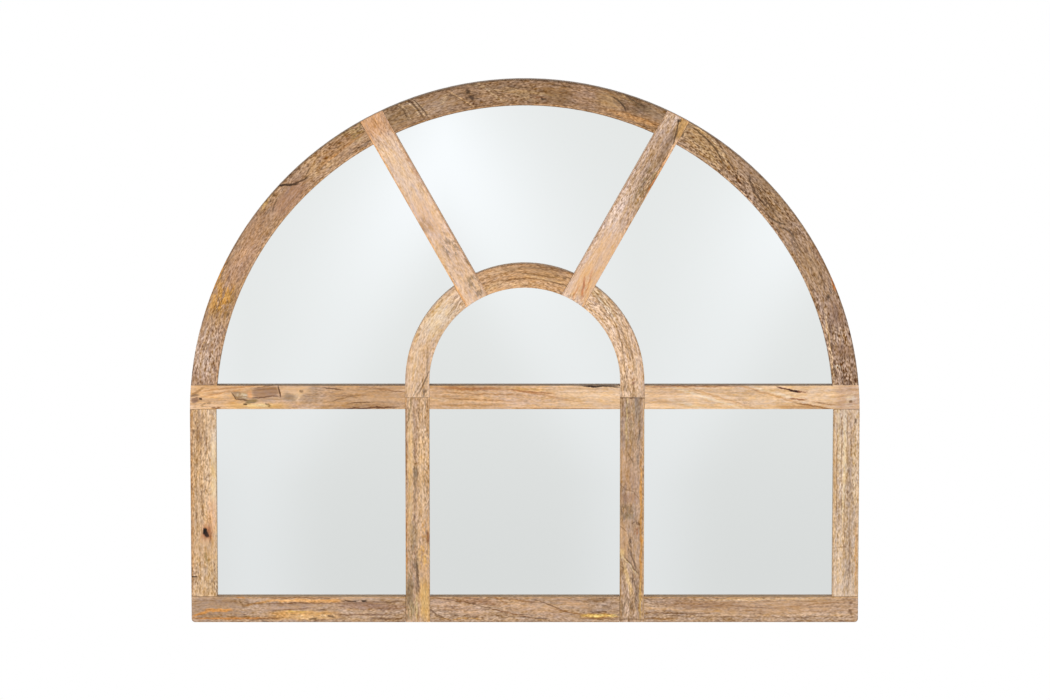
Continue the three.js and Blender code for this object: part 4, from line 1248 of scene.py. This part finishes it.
class ARCHEDMIRROR_OT_screws(bpy.types.Operator):
    """Models a cross recess screw of each size and drives the copies"""

    bl_idname = "arched_mirror.screws"
    bl_label = "Screws"

    def execute(self, context):
        names = sorted(frame["nodes"])
        backing = [name for name in names if name.startswith("backing_screw")]
        hanging = [name for name in names if "_hanger_screw_" in name]
        finish = bright_steel("zinc_plated_screw", 0xCFC9B8, 0xA8A294, 0.24)
        drive_screws("backing_screw", BACKING_SCREW, backing, finish)
        drive_screws("hanger_screw", HANGER_SCREW, hanging, finish)
        return {"FINISHED"}


# Hangers. In a hanger's own frame +X runs along the ring's pivot and +Z up the strap.


class HangerLook(bpy.types.PropertyGroup):
    wire: FloatProperty(
        name="Wire", description="Radius of the ring's wire", default=1.4 * MM, unit="LENGTH",
    )
    width: FloatProperty(
        name="Ring width", description="Between the middles of the ring's two sides",
        default=20.8 * MM, unit="LENGTH",
    )
    drop: FloatProperty(
        name="Ring drop", description="From the straight leg down to the ring's lowest point",
        default=20 * MM, unit="LENGTH",
    )
    corner: FloatProperty(
        name="Ring corner", description="Radius of the two upper bends", default=2.8 * MM,
        unit="LENGTH",
    )
    gap: FloatProperty(
        name="Ring gap", description="Between the two ends of the wire", default=0.5 * MM,
        unit="LENGTH",
    )
    ease: FloatProperty(
        name="Strap ease", description="Width of the chamfer along the strap's edges",
        default=0.2 * MM, unit="LENGTH",
    )


def hanger_frame(joint):
    """The matrix that hangs a ring, which is modelled at the origin, from a joint's pivot."""
    pivot = Vector(joint["pos_m"])
    along = Vector(joint["axis"])
    up = along.cross(Vector((0, 1, 0)))
    axes = Matrix((along, (0, 1, 0), up)).transposed().to_4x4()
    return Matrix.Translation(pivot) @ axes


WIRE_SIDES = 20
BEND_STEPS = 9


def bent_ring(look):
    """A ring of bent wire round the pivot, drawn from one end of the wire to the other."""
    bpy.ops.object.select_all(action="DESELECT")
    bpy.ops.mesh.primitive_circle_add(
        vertices=WIRE_SIDES, radius=look.wire, fill_type="NGON", rotation=(0, math.pi / 2, 0),
        location=(look.gap / 2, 0, 0),
    )
    ring = bpy.context.object
    bpy.ops.object.transform_apply(location=True, rotation=True)
    edit(ring)
    half = look.width / 2
    run = half - look.corner
    side = look.drop - half - look.corner

    def draw(x, z):
        bpy.ops.mesh.extrude_region_move(TRANSFORM_OT_translate={"value": (x, 0, z)})

    def bend(x, z, quarters):
        bpy.ops.mesh.spin(
            steps=BEND_STEPS * quarters, angle=math.pi / 2 * quarters, center=(x, 0, z),
            axis=(0, 1, 0),
        )

    draw(run - look.gap / 2, 0)
    bend(run, -look.corner, 1)
    draw(0, -side)
    bend(0, -look.corner - side, 2)
    draw(0, side)
    bend(-run, -look.corner, 1)
    draw(run - look.gap / 2, 0)
    bpy.ops.mesh.select_all(action="SELECT")
    bpy.ops.mesh.remove_doubles(threshold=0.002 * MM)
    bpy.ops.mesh.normals_make_consistent(inside=False)
    leave_edit()
    bpy.ops.object.shade_smooth_by_angle(angle=math.radians(40))
    return ring


class ARCHEDMIRROR_OT_hangers(bpy.types.Operator):
    """Models the two strap hangers and their rings of bent wire"""

    bl_idname = "arched_mirror.hangers"
    bl_label = "Hangers"

    def execute(self, context):
        look = context.scene.mirror_hangers
        strap_steel = bright_steel("zinc_plated_strap", 0xC6C2B6, 0x9F9B90, 0.3)
        wire_steel = bright_steel("zinc_plated_wire", 0xD0CCC2, 0xA9A59A, 0.2)
        master = bent_ring(look)
        for joint in frame["joints"]:
            side = joint["child"].split("_")[0]
            node = side + "_hanging_ring"
            ring = copied(master, node + "_finished", hanger_frame(joint))
            painted(ring, wire_steel)
            settle(ring, node, joint["child"])
            node = side + "_hanger_strap"
            strap = dressed_copy(node, look.ease)
            painted(strap, strap_steel)
            settle(strap, node, "frame")
        bpy.data.objects.remove(master, do_unlink=True)
        return {"FINISHED"}


# Bumpers

BUMPER_RINGS = [
    Ring(5.7, 0), Ring(6, 0.25), Ring(5.9, 0.7), Ring(5.25, 4.3), Ring(5.0, 5.0),
    Ring(4.65, 5.55), Ring(4.1, 5.88), Ring(3.5, 6), Ring(1.9, 6), Ring(1.5, 5.7), Ring(1.2, 5.2),
]
BUMPER_SIDES = 40


def bumper_rubber():
    material, graph = new_graph("bumper_rubber")
    point = plan_point(graph)
    grain = graph.noise(graph.scaled(point, 1 / 0.5), 2.0, 0.6)
    dust = graph.noise(graph.scaled(point, 1 / 5), 3.0)
    graph.surface({
        "Base Color": graph.mixed(tone(0x242322), tone(0x45423E), dust),
        "Roughness": grain * 0.2 + 0.6,
        "Normal": graph.bump(grain, 0.05 * MM, 0.6),
    })
    return material


class ARCHEDMIRROR_OT_bumpers(bpy.types.Operator):
    """Turns the two rubber bumpers"""

    bl_idname = "arched_mirror.bumpers"
    bl_label = "Wall Bumpers"

    def execute(self, context):
        master = turned("wall_bumper", BUMPER_RINGS, BUMPER_SIDES)
        bpy.ops.object.shade_smooth_by_angle(angle=math.radians(50))
        painted(master, bumper_rubber())
        for node in ("left_wall_bumper", "right_wall_bumper"):
            seat = middle(node)
            seat.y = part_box(node)[0].y
            piece = copied(master, node + "_finished", into_wood(seat, 0))
            settle(piece, node, "frame")
        bpy.data.objects.remove(master, do_unlink=True)
        return {"FINISHED"}


# The studio


class StudioLook(bpy.types.PropertyGroup):
    camera_distance: FloatProperty(
        name="Camera distance", description="From the back of the frame to the camera",
        default=8.317, unit="LENGTH",
    )
    camera_height: FloatProperty(
        name="Camera height", description="Above the middle of the transom",
        default=1.2671, unit="LENGTH",
    )
    camera_aside: FloatProperty(
        name="Camera aside", description="To the right of the mirror's middle",
        default=0.0003, unit="LENGTH",
    )
    camera_pitch: FloatProperty(
        name="Camera pitch", description="How far the camera looks down",
        default=math.radians(8.2), subtype="ANGLE",
    )
    focal_length: FloatProperty(
        name="Focal length", description="Of the long lens, in millimetres", default=192.86,
    )
    floor_drop: FloatProperty(
        name="Floor drop", description="From the bottom of the mirror to the floor",
        default=1.1, unit="LENGTH",
    )
    ambient: FloatProperty(
        name="Ambient light", description="Strength of the light from all round", default=0.5,
    )
    front_light: FloatProperty(
        name="Front light", description="Power of the large lamp in front, in watts", default=125,
    )


# The camera's sensor in millimetres, and the rest in metres.
SENSOR_WIDTH = 36
VIEW_END = 100
FLOOR_RADIUS = 4
FLOOR_FADE = (2.2, 3.9)
LAMP_SIZE = 3
FRONT_LAMP_PLACE = (-0.8, -5, 0)
BACK_LAMP_PLACE = (0.8, 5, 1.2)

# The floor's own glow to the camera, and the power of the lamp behind as a share of the front one's.
FLOOR_SIDES = 96
FLOOR_GLOW = 0.55
BACK_LAMP_SHARE = 0.7


def studio_camera(look):
    camera = bpy.data.cameras.new("camera")
    camera.lens = look.focal_length
    camera.sensor_width = SENSOR_WIDTH
    camera.clip_end = VIEW_END
    holder = bpy.data.objects.new("camera", camera)
    holder.location = (
        look.camera_aside,
        -look.camera_distance,
        TRANSOM_HEIGHT + look.camera_height,
    )
    holder.rotation_euler = (math.pi / 2 - look.camera_pitch, 0, 0)
    bpy.context.scene.collection.objects.link(holder)
    bpy.context.scene.camera = holder


HAZE_COLOUR = (0.971, 1, 0.99)
RIDGE_COLOUR = (0.94, 1, 1.15)

# The bands, in plan millimetres. Each leans, and its neighbour mirrors it.
BAND_START = 120
BAND_FOLD = 291
BAND_HEIGHT = 146
BAND_LEAN = 0.62
BAND_MIDDLE = 127
BAND_LIMIT = 300
BAND_WIDTH = 75
BAND_SPREAD = 0.15


def behind_glass(*colour):
    """A colour before the glass tints it."""
    return tuple(channel / tint for channel, tint in zip(colour, GLASS_TINT))


def soft_lamp(name, power, place):
    """A large round lamp that shines on the mirror and isn't reflected in it."""
    lamp = bpy.data.lights.new(name, "AREA")
    lamp.energy = power
    lamp.shape = "DISK"
    lamp.size = LAMP_SIZE
    holder = bpy.data.objects.new(name, lamp)
    holder.location = place
    holder.rotation_euler = (-Vector(place)).to_track_quat("-Z", "Y").to_euler()
    holder.visible_glossy = False
    bpy.context.scene.collection.objects.link(holder)


def studio_world(look):
    """White to the camera. To glossy rays, soft diagonal bands in pale blue grey.

    The bands are laid out by the plan place that a direction meets at the camera's distance, and
    divided by the tint of the glass, which multiplies them again.
    """
    world = bpy.data.worlds.new("studio")
    bpy.context.scene.world = world
    graph = Graph(world)
    x, y, z = graph.split(graph.node("ShaderNodeTexCoord", None, None, output="Generated"))
    forward = graph.math("MAXIMUM", graph.math("ABSOLUTE", y), 0.05)
    distance = look.camera_distance / MM
    aside = x / forward * distance
    height = z / forward * distance + look.camera_height / MM
    fold = graph.math("PINGPONG", aside + BAND_START, BAND_FOLD)
    leaning = (BAND_HEIGHT - height) * BAND_LEAN + BAND_MIDDLE
    offset = fold - graph.math("MINIMUM", leaning, BAND_LIMIT)
    ratio = offset / (offset * BAND_SPREAD + BAND_WIDTH)
    ridge = graph.math("EXPONENT", ratio * ratio * -0.5)
    ridge = ridge * (graph.between(height, 80, 400) * 0.12 + 0.065)
    level = graph.between(height, -300, 200) * 0.083 + 0.716
    low = graph.scaled(behind_glass(*HAZE_COLOUR), level)
    high = graph.scaled(behind_glass(*RIDGE_COLOUR), ridge)
    bands = graph.vector("ADD", low, high)
    path = graph.tree.nodes.new("ShaderNodeLightPath")
    glossy = Field(graph, path.outputs["Is Glossy Ray"])
    seen = graph.math(
        "MAXIMUM",
        Field(graph, path.outputs["Is Camera Ray"]),
        Field(graph, path.outputs["Is Transmission Ray"]),
    )
    ambient = (look.ambient, look.ambient, look.ambient)
    colour = graph.mixed(ambient, bands, glossy)
    colour = graph.mixed(colour, (1, 1, 1), seen)
    background = graph.node("ShaderNodeBackground", None, {"Color": colour, "Strength": 1})
    graph.finish(background, "ShaderNodeOutputWorld")


def studio_floor(look):
    """A pale disc that fades out at its rim, paler to the camera, and can't be seen from below."""
    bpy.ops.object.select_all(action="DESELECT")
    bpy.ops.mesh.primitive_circle_add(
        vertices=FLOOR_SIDES, radius=FLOOR_RADIUS, fill_type="NGON",
        location=(0, 0, FLOOR_OF_FRAME - look.floor_drop),
    )
    floor = bpy.context.object
    floor.name = "floor"
    material, graph = new_graph("pale_floor")
    x, y = graph.split(graph.place())[:2]
    reach = graph.math("SQRT", x * x + y * y)
    rim = graph.between(reach, *FLOOR_FADE)
    under = graph.node("ShaderNodeNewGeometry", None, None, output="Backfacing")
    paint = graph.node("ShaderNodeBsdfDiffuse", None, {"Color": (0.8, 0.8, 0.79)})
    pale = graph.node("ShaderNodeBsdfDiffuse", None, {"Color": (0.6, 0.6, 0.59)})
    glow = graph.node("ShaderNodeEmission", None, {"Color": (1, 1, 1), "Strength": FLOOR_GLOW})
    bright = graph.node("ShaderNodeAddShader", None, {0: pale, 1: glow})
    camera = graph.node("ShaderNodeLightPath", None, None, output="Is Camera Ray")
    shader = graph.node("ShaderNodeMixShader", None, {0: camera, 1: paint, 2: bright})
    clear = graph.node("ShaderNodeBsdfTransparent")
    gone = graph.math("MAXIMUM", rim, under)
    graph.finish(graph.node("ShaderNodeMixShader", None, {0: gone, 1: shader, 2: clear}))
    floor.data.materials.append(material)
    floor.visible_glossy = False


class ARCHEDMIRROR_OT_studio(bpy.types.Operator):
    """Builds the pale floor, the soft light and the camera"""

    bl_idname = "arched_mirror.studio"
    bl_label = "Studio"

    def execute(self, context):
        look = context.scene.mirror_studio
        studio_camera(look)
        studio_world(look)
        studio_floor(look)
        soft_lamp("front_lamp", look.front_light, FRONT_LAMP_PLACE)
        soft_lamp("back_lamp", look.front_light * BACK_LAMP_SHARE, BACK_LAMP_PLACE)
        context.scene.view_settings.view_transform = "Standard"
        return {"FINISHED"}


# The panel, and what runs it all

OPERATORS = [
    ARCHEDMIRROR_OT_wood_members,
    ARCHEDMIRROR_OT_glass,
    ARCHEDMIRROR_OT_screws,
    ARCHEDMIRROR_OT_hangers,
    ARCHEDMIRROR_OT_bumpers,
    ARCHEDMIRROR_OT_studio,
]

LOOKS = {
    "mirror_wood": WoodLook,
    "mirror_glass": GlassLook,
    "mirror_hangers": HangerLook,
    "mirror_studio": StudioLook,
}


class ARCHEDMIRROR_PT_panel(bpy.types.Panel):
    """Lists the operators and the sizes and colours that they use"""

    bl_idname = "ARCHEDMIRROR_PT_panel"
    bl_label = "Arched Mirror"
    bl_space_type = "VIEW_3D"
    bl_region_type = "UI"
    bl_category = "Arched Mirror"

    def draw(self, context):
        for operator in OPERATORS:
            self.layout.operator(operator.bl_idname)
        for name in LOOKS:
            look = getattr(context.scene, name)
            box = self.layout.box()
            for size in look.__annotations__:
                box.prop(look, size)


def register():
    for item in [*LOOKS.values(), *OPERATORS, ARCHEDMIRROR_PT_panel]:
        bpy.utils.register_class(item)
    for name, look in LOOKS.items():
        setattr(bpy.types.Scene, name, PointerProperty(type=look))


def unregister():
    for name in LOOKS:
        delattr(bpy.types.Scene, name)
    for item in reversed([*LOOKS.values(), *OPERATORS, ARCHEDMIRROR_PT_panel]):
        bpy.utils.unregister_class(item)


def main():
    register()
    bpy.ops.arched_mirror.wood_members()
    bpy.ops.arched_mirror.glass()
    bpy.ops.arched_mirror.screws()
    bpy.ops.arched_mirror.hangers()
    bpy.ops.arched_mirror.bumpers()
    bpy.ops.arched_mirror.studio()


if __name__ == "__main__":
    main()
